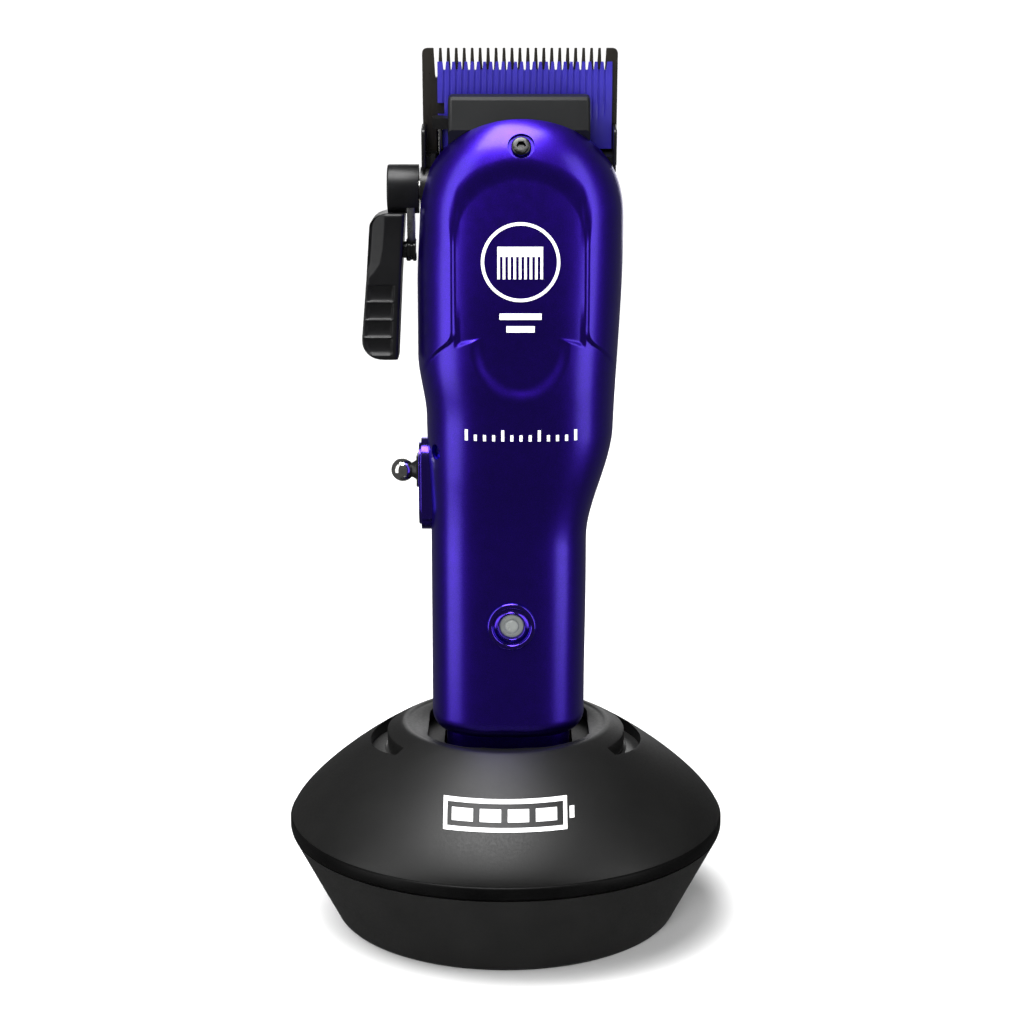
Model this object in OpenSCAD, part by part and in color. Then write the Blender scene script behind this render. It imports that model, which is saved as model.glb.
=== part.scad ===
// Cordless hair clipper standing in its round charging dock.
// Millimetres. +Z up, +X to the right seen from the lid side, -Y out of the lid.
// The origin is the middle of the dock's underside.

/* [Dock] */
// Radius of the dock where it meets the table
dock_foot_r = 43; // [41:0.1:45]
// Radius of the dock at its widest
dock_wide_r = 54.2; // [53:0.1:55]
// Height of the lower cone
cone_h = 22.6; // [21:0.1:24]
// Height of the trim ring between cone and dome
ring_h = 3.5; // [2.5:0.1:4.5]
// Radius of the collar round the well
collar_r = 25.7; // [25:0.1:27]
// Height of the collar's edge above the table
collar_z = 49.3; // [48.5:0.1:50]
// Wall of the dock mouldings
dock_wall = 2.2; // [1.8:0.1:2.6]

/* [Clipper body] */
// Half width of the grip on the lever side
grip_left = 18.25; // [17.8:0.05:18.6]
// Half width of the grip on the other side
grip_right = 19.55; // [19.2:0.05:19.9]
// Depth of the grip in front of the parting line
grip_front = 15.8; // [15.4:0.1:16.2]
// Depth of the grip behind the parting line
grip_back = 14.8; // [14.4:0.1:15.2]
// Depth of the head in front of the parting line
head_front = 21.6; // [21:0.1:22.2]
// Wall of the two body shells
wall = 1.8; // [1.5:0.1:2]
// Lowest point of the body shells
tail_z = 48.5; // [48:0.1:49]
// Lowest point of the tail cap, in the well
cap_z = 33; // [32.8:0.1:33.4]

/* [Blades] */
// Width of the fixed blade
fixed_w = 46.1; // [45:0.1:46.4]
// Height of the fixed blade from heel to tips
fixed_h = 29.75; // [29:0.05:30]
// Number of narrow teeth on the fixed blade
fixed_teeth = 21; // [15:1:25]
// Width of the moving blade
moving_w = 41.2; // [40:0.1:41.4]
// Number of teeth on the moving blade
moving_teeth = 28; // [20:1:32]
// Lean of both blades towards the lid, in degrees
blade_lean = 10; // [9:0.5:11]
// Half of the moving blade's stroke
stroke_half = 1.4; // [1:0.1:1.5]

/* [Controls] */
// Height of the taper lever's pivot
lever_z = 182; // [181.5:0.1:182.5]
// Diameter of the lever's hub
hub_d = 11.65; // [11:0.05:12]
// Height of the power switch when on
switch_z = 113.5; // [113:0.1:114]
// Travel of the power switch
switch_travel = 4.5; // [4:0.1:4.6]
// Height of the charge light
light_z = 77.9; // [76:0.1:80]

/* [Hidden] */

$fn = 64;
eps = 0.01;
black = [0.07, 0.07, 0.08];
violet = [0.2, 0.08, 0.67];
steel = [0.75, 0.76, 0.78];
gold = [0.83, 0.66, 0.32];

dome_z = cone_h + ring_h;
trim_r = dock_wide_r + 0.2;

board_z = 10.4;       // underside of the charging board
sleeve_drop = 8;      // how far the contact sleeves start under the well's floor

// The well is a rounded rectangle, off centre as the clipper is
well_x = [-19.4, 20.7];
well_y = 16.9;
well_corner = 9;
well_floor_z = 32.6;
collar_dip = 1.8;

mid_x = 3.5;          // middle of the head
grip_mid_x = (grip_right - grip_left) / 2;
crown_z = 176;        // where the head's arch starts
crown_h = 25.5;       // height of the arch at the parting line
tail_round = 4.5;     // rounding of the shells' lower edge
squareness = 2.8;     // exponent of the rounded section
lid_cut_slope = 1.5;  // the lid ends on a plane that rises towards the front
lid_cut_z = 181;
rear_top_z = 184.3;

neck_x = [-14.6, 15.9];
neck_y = 11;
neck_corner = 5.5;
well_play = 0.7;
well_top_z = 45.5;
contact_x = [grip_mid_x - 7, grip_mid_x + 7];

pivot_y = 3.5;        // heel of the fixed blade's front face
heel_z = 185.7;
fixed_x = -19.6;
moving_x = -16;
tooth_root = 22.7;    // where the fixed blade's gaps start, above its heel
blade_gap = 0.1;
blade_screw_x = [-10.3, 18.6];
cheek_x = [-17.7, -16.6];         // head frame's cheek on the lever side
guard_left_x = [-19.8, -18.85];   // side guards beside the blades
guard_right_x = [25.5, 26.3];

motor_y = -2;
motor_r = 12;
motor_z = [132, 170.5];
motor_screw_run = 8.5;
plate_z = [170.5, 174];
cell_r = 9.2;
cell_y = 3.4;
cell_z = [54, 119];
board_y = -9.6;

light_x = 1.5;

switch_mid_z = 110.15;
bezel_r = 6;
bezel_half = 11.45;
ball_x = -25.2;
ball_r = 2.85;

function smooth(v, a, b) = let (t = max(0, min(1, (v - a) / (b - a)))) t * t * (3 - 2 * t);
function tail_in(z, r) = z < tail_z + r ? r - sqrt(max(0, r * r - pow(tail_z + r - z, 2))) : 0;
function side_left(z) = grip_left + 0.9 * smooth(z, 100, 128) + 1.95 * smooth(z, 127, 143)
  - 0.75 * smooth(z, 160, 180);
function side_right(z) = grip_right + 0.3 * smooth(z, 57, 90) + 6.1 * smooth(z, 97, 125)
  + 2.2 * smooth(z, 115, 172);
function front_of(z) = grip_front + (head_front - grip_front) * smooth(z, 96, 146)
  - 1.6 * smooth(z, 160, 196);
function back_of(z) = grip_back + 2.2 * smooth(z, 90, 140) - 7.5 * smooth(z, 152, 190);

// Depth of the shallow panel in the head, and of the scoop that runs out below it
function panel(x, z) =
  let (dx = abs(x - mid_x), top = 185.3 - 14.8 * (1 - sqrt(max(0, 1 - pow(min(dx, 15.1) / 15.1, 2)))))
  1.7 * smooth(15.1 + 1.2 - dx, 0, 2.4) * smooth(top + 1 - z, 0, 2.4) * smooth(z, 132, 150);

// A point of a shell: s is the fraction across from the left edge (-1) to the right edge (1)
function skin(z, s, side, t) =
  let (
    u = min(1, max(0, z - crown_z) / (crown_h - t)),
    inset = t + tail_in(z - t, tail_round),
    left = side_left(z) - inset, right = side_right(z) - inset,
    half = (left + right) / 2, mid = (right - left) / 2,
    across = sign(s) * pow(abs(s), 2 / squareness) * sqrt(max(0, 1 - u * u)),
    rho = min(1, sqrt(across * across + u * u)),
    swell = pow(max(0, 1 - pow(rho, squareness)), 1 / squareness),
    x = mid + half * across,
    depth = (side < 0 ? front_of(z) : back_of(z)) - inset
  )
  [x, side * depth * swell + (side < 0 ? panel(x, z) * swell : 0), z];

function shell_heights(t) = concat(
  [for (k = [0:3]) tail_z + t + tail_round * (1 - cos(k * 25))],
  [for (z = [56:8:96]) z],
  [for (z = [102:4:130]) z],
  [for (z = [133:3:175]) z],
  [for (a = [4:10:74]) crown_z + (crown_h - t) * sin(a)]
);

function mid_of(row) = (row[0][0] + row[len(row) - 1][0]) / 2;

// Half of the body: an outer and an inner skin, closed by rims, a floor and a top
module half_shell(side, columns) {
  cs = [for (j = [0:columns]) cos(180 * (1 - j / columns))];
  outer = [for (z = shell_heights(0)) [for (c = cs) skin(z, c, side, 0)]];
  inner = [for (z = shell_heights(wall)) [for (c = cs) skin(z, c, side, wall)]];
  rows = len(outer);
  w = columns + 1;
  n = rows * w;
  ends = [outer[0], inner[0], outer[rows - 1], inner[rows - 1]];
  mids = [for (row = ends) [mid_of(row), 0, row[0][2]]];
  points = concat([for (r = outer) each r], [for (r = inner) each r], mids);
  ob = 2 * n;
  ib = 2 * n + 1;
  ot = 2 * n + 2;
  it = 2 * n + 3;
  last = (rows - 1) * w;
  cells = [for (i = [0:rows - 2], j = [0:columns - 1]) i * w + j];
  faces = concat(
    [for (a = cells) each [[a, a + w, a + 1], [a + 1, a + w, a + w + 1]]],
    [for (c = cells) let (a = n + c) each [[a, a + 1, a + w], [a + 1, a + w + 1, a + w]]],
    [for (i = [0:rows - 2]) let (a = i * w, b = n + i * w) each [[a, b, a + w], [b, b + w, a + w]]],
    [for (i = [0:rows - 2]) let (a = i * w + columns, b = n + a) each [[a, a + w, b], [b, a + w, b + w]]],
    [for (j = [0:columns - 1]) [ob, j, j + 1]],
    [for (j = [0:columns - 1]) [ib, n + j + 1, n + j]],
    [for (j = [0:columns - 1]) [ot, last + j + 1, last + j]],
    [for (j = [0:columns - 1]) [it, n + last + j, n + last + j + 1]],
    [[0, ob, ib], [0, ib, n], [ob, columns, ib], [columns, n + columns, ib]],
    [[last, it, ot], [last, n + last, it], [ot, it, last + columns], [last + columns, it, n + last + columns]]
  );
  polyhedron(points = points, faces = side < 0 ? faces : [for (f = faces) [f[0], f[2], f[1]]]);
}

// A rounded rectangle that keeps true arcs
module rounded(x0, x1, y0, y1, r) {
  translate([x0 + r, y0]) square([x1 - x0 - 2 * r, y1 - y0]);
  translate([x0, y0 + r]) square([x1 - x0, y1 - y0 - 2 * r]);
  for (x = [x0 + r, x1 - r], y = [y0 + r, y1 - r]) translate([x, y]) circle(r);
}

module rod_x(x0, x1, r) { translate([x0, 0, 0]) rotate([0, 90, 0]) cylinder(h = x1 - x0, r = r); }
module block(lo, hi) { translate(lo) cube(hi - lo); }

// Local frame of the blades: x across, y into the plate, z from heel to tips
module at_blade() { translate([0, pivot_y, heel_z]) rotate([blade_lean, 0, 0]) children(); }

// ---------- Dock ----------
screw_spots = [for (a = [45:90:315]) [34 * cos(a), 34 * sin(a)]];
foot_spots = [for (a = [0:90:270]) [35 * cos(a), 35 * sin(a)]];
slot_half = 33;   // half the sweep of a crescent slot, degrees

module dock_base() {
  cone_run = dock_wide_r - dock_foot_r;
  color(black) difference() {
    rotate_extrude($fn = 96) polygon([
      [0, 0.4], [dock_foot_r - 0.6, 0.4], [dock_foot_r, 1], [dock_wide_r, cone_h],
      [dock_wide_r - dock_wall - 0.2, cone_h],
      [dock_foot_r + cone_run * 0.12 - dock_wall, 3.4], [0, 3.4]
    ]);
    for (p = screw_spots) translate([p[0], p[1], -1]) cylinder(h = 3, r = 3.1);
    for (p = screw_spots) translate([p[0], p[1], -1]) cylinder(h = 6, r = 1.7);
    for (p = foot_spots) translate([p[0], p[1], -1]) cylinder(h = 3, r = 5);
    block([-4.75, 38, 12.05], [4.75, 60, 15.75]);
  }
  color(black) for (p = [[-8, -5], [8, -5], [0, 36]])
    translate([p[0], p[1], 3.4 - eps]) cylinder(h = board_z - 3.4 + eps, r = 2);
}

module dock_trim_ring() {
  color(black) rotate_extrude($fn = 96) polygon([
    [dock_wide_r - dock_wall, cone_h], [dock_wide_r - 0.2, cone_h], [trim_r, cone_h + 0.5],
    [trim_r, dome_z - 0.5], [dock_wide_r - 0.2, dome_z], [dock_wide_r - dock_wall, dome_z]
  ]);
}

// Radius of the dome at a height
function dome_r(z) = let (t = (z - dome_z) / (collar_z - dome_z))
  collar_r + (dock_wide_r - 0.2 - collar_r) * pow(max(0, 1 - pow(t, 1.3)), 0.909);

module ring_slot(side) {
  // crescent between the collar and a larger arc
  rotate([0, 0, side > 0 ? 0 : 180]) intersection() {
    rotate([0, 0, -slot_half]) rotate_extrude(angle = slot_half * 2, $fn = 96)
      polygon([[29.7, 42.6], [35, 41.2], [35, 52], [29.7, 52]]);
    translate([9.2, 0, 38]) cylinder(h = 16, r = 24.8, $fn = 96);
  }
}

module dock_shell() {
  steps = 16;
  heights = [for (k = [0:steps]) dome_z + (collar_z - dome_z) * (1 - pow(1 - k / steps, 1.6))];
  profile = concat(
    [for (z = heights) [dome_r(z), z]],
    [[well_x[1] - 3, collar_z - collar_dip]], [[well_x[1] - 3, collar_z - collar_dip - 2.4]],
    [for (k = [steps:-1:0])
      [max(well_x[1] - 3, dome_r(heights[k]) - dock_wall), max(dome_z, heights[k] - 2.4)]]
  );
  color(black) difference() {
    union() {
      difference() {
        rotate_extrude($fn = 96) polygon(profile);
        ring_slot(1);
        ring_slot(-1);
      }
      for (side = [0, 180]) rotate([0, 0, side]) intersection() {
        rotate([0, 0, -37]) rotate_extrude(angle = 74, $fn = 96)
          polygon([[28.2, 40.4], [36.2, 38.4], [36.2, 41.2], [28.2, 43.2]]);
        cylinder(h = 60, r = 36.1);
      }
      for (p = screw_spots) translate([p[0], p[1], 3.45]) cylinder(h = 37.5, r = 3.6);
    }
    translate([0, 0, 20]) linear_extrude(40)
      rounded(well_x[0] - 0.02, well_x[1] + 0.02, -well_y - 0.02, well_y + 0.02, well_corner);
    for (p = screw_spots) translate([p[0], p[1], 3]) cylinder(h = 14, r = 1.25);
  }
}

module dock_well() {
  color([0.05, 0.05, 0.05]) difference() {
    translate([0, 0, well_floor_z - 2]) linear_extrude(well_top_z - well_floor_z + 2)
      rounded(well_x[0], well_x[1], -well_y, well_y, well_corner);
    translate([0, 0, well_floor_z]) linear_extrude(40)
      rounded(neck_x[0] - well_play, neck_x[1] + well_play, -neck_y - well_play, neck_y + well_play,
        neck_corner + well_play);
    for (x = contact_x) translate([x, 0, well_floor_z - 5]) cylinder(h = 10, r = 1.3);
  }
}

module dock_feet() {
  color([0.12, 0.12, 0.12]) for (p = foot_spots) translate([p[0], p[1], 0]) cylinder(h = 2, r = 4.8);
}

module dock_ballast() {
  color(steel) difference() {
    translate([0, 0, 3.6]) cylinder(h = 5, r = 30, $fn = 96);
    translate([0, 0, 3]) cylinder(h = 7, r = 12);
  }
}

module dock_board() {
  color([0.1, 0.4, 0.2]) block([-11, -9, board_z], [11, 42.5, board_z + 1.6]);
}

module dock_socket() {
  color(steel) difference() {
    block([-4.7, 40, 12.05], [4.7, 47.6, 15.7]);
    block([-4.1, 41, 12.5], [4.1, 52, 15.25]);
  }
}

module dock_screws() {
  color(steel) for (p = screw_spots) translate([p[0], p[1], 1.0]) {
    cylinder(h = 1, r = 2.9);
    cylinder(h = 12, r = 1.24);
  }
}

module contact_sleeves() {
  color(gold) for (x = contact_x) translate([x, 0, well_floor_z - sleeve_drop]) difference() {
    cylinder(h = 6, r = 2.6);
    translate([0, 0, 0.8]) cylinder(h = 6, r = 1.9);
  }
}

module contact_pin(x) {
  color(gold) {
    translate([x, 0, 27.2]) cylinder(h = 3.2, r = 1.85);
    translate([x, 0, 27.2]) cylinder(h = 6.2, r = 1.2);
    translate([x, 0, 33.4]) cylinder(h = 0.5, r1 = 1.2, r2 = 0.8, $fn = 32);
  }
}
module left_contact_pin() { contact_pin(contact_x[0]); }
module right_contact_pin() { contact_pin(contact_x[1]); }

// ---------- Clipper shells ----------
module bezel_plug(x0, x1, grow) {
  translate([x0, 0, switch_mid_z]) rotate([0, 90, 0]) linear_extrude(x1 - x0) {
    square([2 * (bezel_half - bezel_r), 2 * (bezel_r + grow)], center = true);
    for (s = [-1, 1]) translate([s * (bezel_half - bezel_r), 0]) circle(bezel_r + grow);
  }
}

screw_sink = 1.1;     // how far the rear screws' heads are sunk
head_screw_at = [3.7, -17.4, 193.4];
side_screw_at = [-15.8, -10, 120.1];
rear_screw_at = [[grip_mid_x - 9, 125], [grip_mid_x + 12, 125], [mid_x - 12, 177], [mid_x + 12, 177]];

module at_head_screw() { translate(head_screw_at) rotate([64, 0, 0]) children(); }
module at_side_screw() { translate(side_screw_at) rotate([0, -90, 0]) rotate([48, 0, 0]) children(); }

module shell_openings() {
  translate([0, 0, lever_z]) rod_x(-26, -12, 6.4);
  bezel_plug(-26, -14, 0.03);
  translate([0, 0, tail_z - 5]) linear_extrude(12)
    rounded(neck_x[0] - 0.03, neck_x[1] + 0.03, -neck_y - 0.03, neck_y + 0.03, neck_corner);
}

module front_lid() {
  color(violet) difference() {
    half_shell(-1, 28);
    shell_openings();
    // slanted end under the blades
    above_lid(0);
    at_head_screw() translate([0, 0, -6]) cylinder(h = 14, r = 1.8);
    at_head_screw() translate([0, 0, -1.2]) cylinder(h = 8, r = 3.15);
    at_side_screw() translate([0, 0, -8]) cylinder(h = 12, r = 1.2);
    at_side_screw() translate([0, 0, -0.9]) cylinder(h = 6, r = 1.9);
    translate([light_x, -8, light_z]) rotate([90, 0, 0]) cylinder(h = 12, r = 5.93);
  }
}
// Everything behind the slanted end of the front lid
module above_lid(gap) {
  translate([-60, gap, lid_cut_z]) rotate([90 - atan(lid_cut_slope), 0, 0]) cube([120, 60, 60]);
}

module rear_lid() {
  color(violet) difference() {
    half_shell(1, 20);
    shell_openings();
    block([-60, -5, rear_top_z], [60, 60, 230]);
    for (p = rear_screw_at) translate([p[0], 5, p[1]]) rotate([-90, 0, 0]) cylinder(h = 15, r = 1.6);
    for (p = rear_screw_at)
      translate([p[0], back_of(p[1]) - screw_sink, p[1]]) rotate([-90, 0, 0]) cylinder(h = 6, r = 3);
  }
}

module tail_cap() {
  color(black) difference() {
    translate([0, 0, cap_z]) linear_extrude(tail_z + wall + 1.2 - cap_z)
      rounded(neck_x[0], neck_x[1], -neck_y, neck_y, neck_corner);
    translate([0, 0, cap_z + 2.5]) linear_extrude(30)
      rounded(neck_x[0] + 1.6, neck_x[1] - 1.6, -neck_y + 1.6, neck_y - 1.6, neck_corner - 1.6);
    for (x = contact_x) translate([x, 0, cap_z - 1]) cylinder(h = 5, r = 2.5);
  }
}

module charge_pads() {
  color(gold) for (x = contact_x) translate([x, 0, cap_z + 1.1]) cylinder(h = 1.6, r = 2.48);
}

module light_bezel() {
  color(violet) translate([light_x, -12.6, light_z]) rotate([90, 0, 0]) rotate_extrude($fn = 96) polygon([
    [2.85, 0], [5.9, 0], [5.9, 3.3], [5.4, 3.9], [4.8, 3.9],
    [4.4, 3.2], [3.8, 3.0], [3.5, 3.5], [3.1, 3.5], [2.85, 3]
  ]);
}

module light_lens() {
  color([0.6, 0.62, 0.62]) translate([light_x, -12, light_z]) rotate([90, 0, 0]) rotate_extrude() polygon([
    [0, 0], [2.8, 0], [2.8, 3.3], [1.7, 3.3], [1.2, 3.7], [0.6, 3.9], [0, 3.95]
  ]);
}

slot_top = switch_z + 4.3;
slot_low = switch_z - switch_travel - 4.3;

module switch_bezel() {
  color(violet) difference() {
    union() {
      bezel_plug(-20.2, -16.4, 0);
      bezel_plug(-20.7, -20.2, -0.5);
      bezel_plug(-21.2, -20.7, -1.2);
    }
    block([-22, -2.9, slot_low], [-15, 2.9, slot_top]);
  }
}

module side_screw() {
  color(steel) at_side_screw() {
    translate([0, 0, -0.85]) cylinder(h = 0.5, r = 1.85);
    translate([0, 0, -3.4]) cylinder(h = 2.7, r = 1.15);
  }
}

module head_screw() {
  color([0.2, 0.2, 0.2]) at_head_screw() difference() {
    union() {
      translate([0, 0, -1.2]) cylinder(h = 1, r = 3.1);
      translate([0, 0, -8]) cylinder(h = 7, r = 1.4);
    }
    translate([0, 0, -1]) cylinder(h = 2, r = 1.2, $fn = 6);
  }
}

module rear_lid_screws() {
  color([0.2, 0.2, 0.2]) for (p = rear_screw_at)
    translate([p[0], back_of(p[1]) - screw_sink, p[1]]) rotate([-90, 0, 0]) difference() {
      union() {
        cylinder(h = 0.8, r = 2.9);
        translate([0, 0, -4]) cylinder(h = 4.2, r = 1.3);
      }
      translate([0, 0, 0.2]) cylinder(h = 2, r = 1.1, $fn = 6);
    }
}

// ---------- Frames, battery and motor ----------
seat_x = [-12.6, 25.4];

module head_frame() {
  cheek_y = 3;          // half width of both cheeks
  boss_r = 5.2;
  seat_top = 5.3;       // above the fixed blade's heel
  color(black) difference() {
    union() {
      // motor plate, resting inside the shells
      block([-15.6, -12.6, plate_z[0]], [21.8, 6, plate_z[1]]);
      // cheek on the lever side, with the lever's boss
      block([cheek_x[0], -cheek_y, plate_z[0]], [cheek_x[1], cheek_y, 178]);
      block([cheek_x[1] - eps, -cheek_y, plate_z[0]], [-15.5, cheek_y, plate_z[1]]);
      translate([0, 0, lever_z]) rod_x(cheek_x[0], cheek_x[1], 6.1);
      block([cheek_x[0], -cheek_y, 186], [cheek_x[1], 1.5, 190.4]);
      translate([0, 0, lever_z]) rod_x(-20.2, cheek_x[1], boss_r);
      // far cheek
      block([21, -cheek_y, plate_z[0]], [23.2, cheek_y, 184.8]);
      at_blade() {
        // blade seat, wide only above the shells
        block([seat_x[0], -6, -5.5], [22.6, -0.02, 0.5]);
        block([seat_x[0], -6, 0.3], [guard_right_x[0], -0.02, seat_top]);
        block([guard_left_x[1], -1.25, -1.1], [seat_x[0] + eps, -0.02, seat_top]);
        block([-19.3, -0.1, -1.3], [26.2, 3.4, -0.06]);
        // arm that holds the left guard
        block([guard_left_x[1], -4.6, 2.3], [cheek_x[1], -1.2, 4.7]);
      }
    }
    translate([mid_x, motor_y, plate_z[0] - 1]) cylinder(h = 6, r = 4.6);
    for (s = [-1, 1])
      translate([mid_x + motor_screw_run * s, motor_y, plate_z[0] - 1]) cylinder(h = 6, r = 1.3);
    translate([0, 0, lever_z]) rod_x(-24, -12, 3.52);
    // seat of the fixed blade
    at_blade() block([-22, -0.02, -0.06], [28, 9, 40]);
    // way for the follower's arm
    at_blade() block([mid_x - 9.5, -7, -8], [mid_x + 11.5, -0.9, 8]);
    at_blade() for (x = blade_screw_x)
      translate([x, -9, 3.2]) rotate([-90, 0, 0]) cylinder(h = 12, r = 1.42);
  }
}

// Plates that stand beside the blades, held by the head frame
module blade_guards() {
  color(black) at_blade() {
    block([guard_left_x[0], -7.6, 2.3], [guard_left_x[1], -0.02, 12]);
    block([guard_right_x[0], -7.6, 3.2], [guard_right_x[1], -0.02, 12]);
  }
}

module inner_frame() {
  tray_x = [-12, 14];
  tray_front = -8.2;
  tray_back = 9;
  rail = 1.6;
  low = cell_z[0] - 2.2;
  high = motor_z[0] - 1;
  color([0.1, 0.1, 0.12]) difference() {
    union() {
      block([tray_x[0], tray_front, low], [tray_x[1], -6.4, high]);
      block([tray_x[0], tray_front, low], [tray_x[0] + rail, 5, high]);
      block([tray_x[1] - rail, tray_front, low], [tray_x[1], 5, high]);
      block([tray_x[0], tray_front, low], [tray_x[1], tray_back, cell_z[0] - 1]);
      block([tray_x[0], tray_front, cell_z[1] + 1], [tray_x[1], tray_back, cell_z[1] + 2.4]);
      block([tray_x[0], tray_front, high - 2], [18, tray_back, high]);
    }
    translate([mid_x, motor_y, motor_z[0] - 9]) cylinder(h = 12, r = 4);
    // way for the switch slider behind its slot
    block([-16, -8, slot_low - 1], [-8, 8, slot_top + 1]);
  }
}

module battery_cell() {
  color([0.2, 0.5, 0.75]) translate([1, cell_y, cell_z[0]]) cylinder(h = cell_z[1] - cell_z[0], r = cell_r);
}

module battery_tabs() {
  color(steel) {
    block([-3, cell_y - 3, cell_z[0] - 0.4], [5, cell_y + 3, cell_z[0] - 0.02]);
    block([-3, cell_y - 3, cell_z[1] + 0.02], [5, cell_y + 3, cell_z[1] + 0.4]);
  }
}

module circuit_board() {
  color([0.1, 0.4, 0.2]) block([-9.5, board_y, 60], [12, board_y + 1.35, 122]);
}

module board_parts() {
  color([0.1, 0.1, 0.1]) {
    block([-0.5, board_y - 1.2, light_z - 2], [3.5, board_y, light_z + 2]);
    block([-5, board_y - 1.6, 92], [2, board_y, 99]);
    block([4, board_y - 1.6, 104], [10, board_y, 110]);
    block([-9, board_y - 2.2, slot_low], [-5, board_y, slot_top]);
  }
}

module motor_can() {
  color(steel) translate([mid_x, motor_y, 0]) difference() {
    translate([0, 0, motor_z[0] + 3]) cylinder(h = motor_z[1] - motor_z[0] - 3, r = motor_r, $fn = 96);
    translate([0, 0, motor_z[0]]) cylinder(h = motor_z[1] - motor_z[0] - 1.5, r = motor_r - 1.2);
    translate([0, 0, motor_z[1] - 5]) cylinder(h = 12, r = 1.65);
    for (s = [-1, 1]) translate([motor_screw_run * s, 0, motor_z[1] - 5]) cylinder(h = 12, r = 1.2);
  }
}

module motor_end_cap() {
  color(black) difference() {
    translate([mid_x, motor_y, motor_z[0]]) cylinder(h = 3, r = motor_r);
    translate([mid_x, motor_y, motor_z[0] - 1]) cylinder(h = 5, r = 1.65);
  }
}

module motor_screws() {
  color(steel) for (s = [-1, 1]) translate([mid_x + motor_screw_run * s, motor_y, 0]) {
    translate([0, 0, plate_z[1]]) cylinder(h = 1.2, r = 2.2);
    translate([0, 0, plate_z[1] - 6]) cylinder(h = 6.2, r = 1.19);
  }
}

module lever_bush() {
  color(gold) translate([0, 0, lever_z]) difference() {
    rod_x(-20.2, cheek_x[1], 3.5);
    rod_x(-21, -15, 2.55);
  }
}

module rotor_shaft() {
  color(steel) translate([mid_x, motor_y, 0]) {
    translate([0, 0, motor_z[0] - 2]) cylinder(h = 177 - motor_z[0] + 2, r = 1.6);
    translate([0, 0, motor_z[0] + 5]) cylinder(h = 24, r = motor_r - 2.6);
  }
}

// ---------- Drive to the moving blade ----------
cutter_offset = 1.15;      // the moving blade's place in its stroke at rest
phase = asin(cutter_offset / stroke_half);
crank_pin = [mid_x + stroke_half * sin(phase), motor_y - stroke_half * cos(phase)];

module eccentric_cam() {
  color(steel) difference() {
    union() {
      translate([mid_x, motor_y, 175.2]) cylinder(h = 4.4, r = 4.4);
      translate([crank_pin[0], crank_pin[1], 175.2]) cylinder(h = 11.2, r = 1.5);
    }
    translate([mid_x, motor_y, 175]) cylinder(h = 2, r = 1.61);
  }
}

fork_z = [181.2, 187];
follower_screw_z = 8.8;

follower_screw_x = [crank_pin[0] - 3, crank_pin[0] + 3];

module cam_follower() {
  px = crank_pin[0];
  color([0.85, 0.85, 0.82]) difference() {
    union() {
      block([px - 5, motor_y - 4.7, fork_z[0]], [px + 5, motor_y + 4, fork_z[1]]);
      at_blade() block([px - 4.8, -6.6, 0], [px + 4.8, -2.12, 14.6]);
    }
    // slot for the crank pin: narrow across, long front to back
    block([px - 1.72, motor_y - 3.4, fork_z[0] - 8], [px + 1.72, motor_y + 3.2, fork_z[1] + 1.4]);
    // groove for the carriage bar
    at_blade() block([px - 9, -5.9, 11.4], [px + 9, -2.4, 15]);
    at_blade() for (x = follower_screw_x)
      translate([x, -9, follower_screw_z]) rotate([-90, 0, 0]) cylinder(h = 9, r = 0.8);
  }
}

module follower_screws() {
  color(steel) at_blade() for (x = follower_screw_x)
    translate([x, -6.6, follower_screw_z]) rotate([-90, 0, 0]) {
      translate([0, 0, -0.6]) cylinder(h = 0.6, r = 1.5);
      cylinder(h = 4.4, r = 0.78);
    }
}

carriage_z = [11.7, 14.3];
rod_x_at = -15.5;

module blade_carriage() {
  color(black) at_blade() difference() {
    union() {
      block([-17.2, -5.4, carriage_z[0]], [17, -2.6, carriage_z[1]]);
      translate([rod_x_at, -3.5, carriage_z[0]]) cylinder(h = 2.6, r = 1.4);
    }
    translate([rod_x_at, -3.5, carriage_z[0] - 1]) cylinder(h = 2.6, r = 0.79);
  }
}

crank_r = 3.65;
crank_rest = 20;
crank_y = -crank_r * cos(crank_rest);
crank_z = lever_z - crank_r * sin(crank_rest);

module link_rod() {
  color(steel) difference() {
    union() {
      at_blade() {
        translate([rod_x_at, -3.5, 3.6]) cylinder(h = 9.6, r = 0.775);
        block([-16.2, -4.4, 3.2], [-13.7, -2.6, 4.8]);
      }
      block([-14.9, -1.6, 182.6], [-13.7, 0.7, 190]);
      block([-14.9, -6.4, 178.6], [-13.7, 0.7, 183.2]);
    }
    block([-16, crank_y - 1.5, crank_z - 1.2], [-12, crank_y + 1.8, crank_z + 1.2]);
  }
}

module tension_spring() {
  n = -7.35;
  wire = 0.45;
  color(steel) at_blade() {
    for (x = [crank_pin[0] - 10, crank_pin[0] + 10]) {
      translate([x, n, 10.2]) rotate([90, 0, 0]) rotate_extrude($fn = 48)
        translate([1.6, 0]) circle(wire, $fn = 16);
      translate([x, n, 11.8]) cylinder(h = 2.2, r = wire, $fn = 24);
      translate([x, n, 14]) sphere(wire, $fn = 24);
      block([x - 0.4, n, 12.4], [x + 0.4, -5.4, 13.2]);
    }
    translate([0, n, 14]) rod_x(crank_pin[0] - 10, crank_pin[0] + 10, wire);
  }
}

// ---------- Blades ----------
module gap(at, tip_w, root_w, z0, z1, y0, y1) {
  translate([at, y1, 0]) rotate([90, 0, 0]) linear_extrude(y1 - y0) {
    polygon([[-tip_w / 2, z1], [-root_w / 2, z0], [root_w / 2, z0], [tip_w / 2, z1]]);
    translate([0, z0]) circle(root_w / 2, $fn = 24);
  }
}

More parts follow.
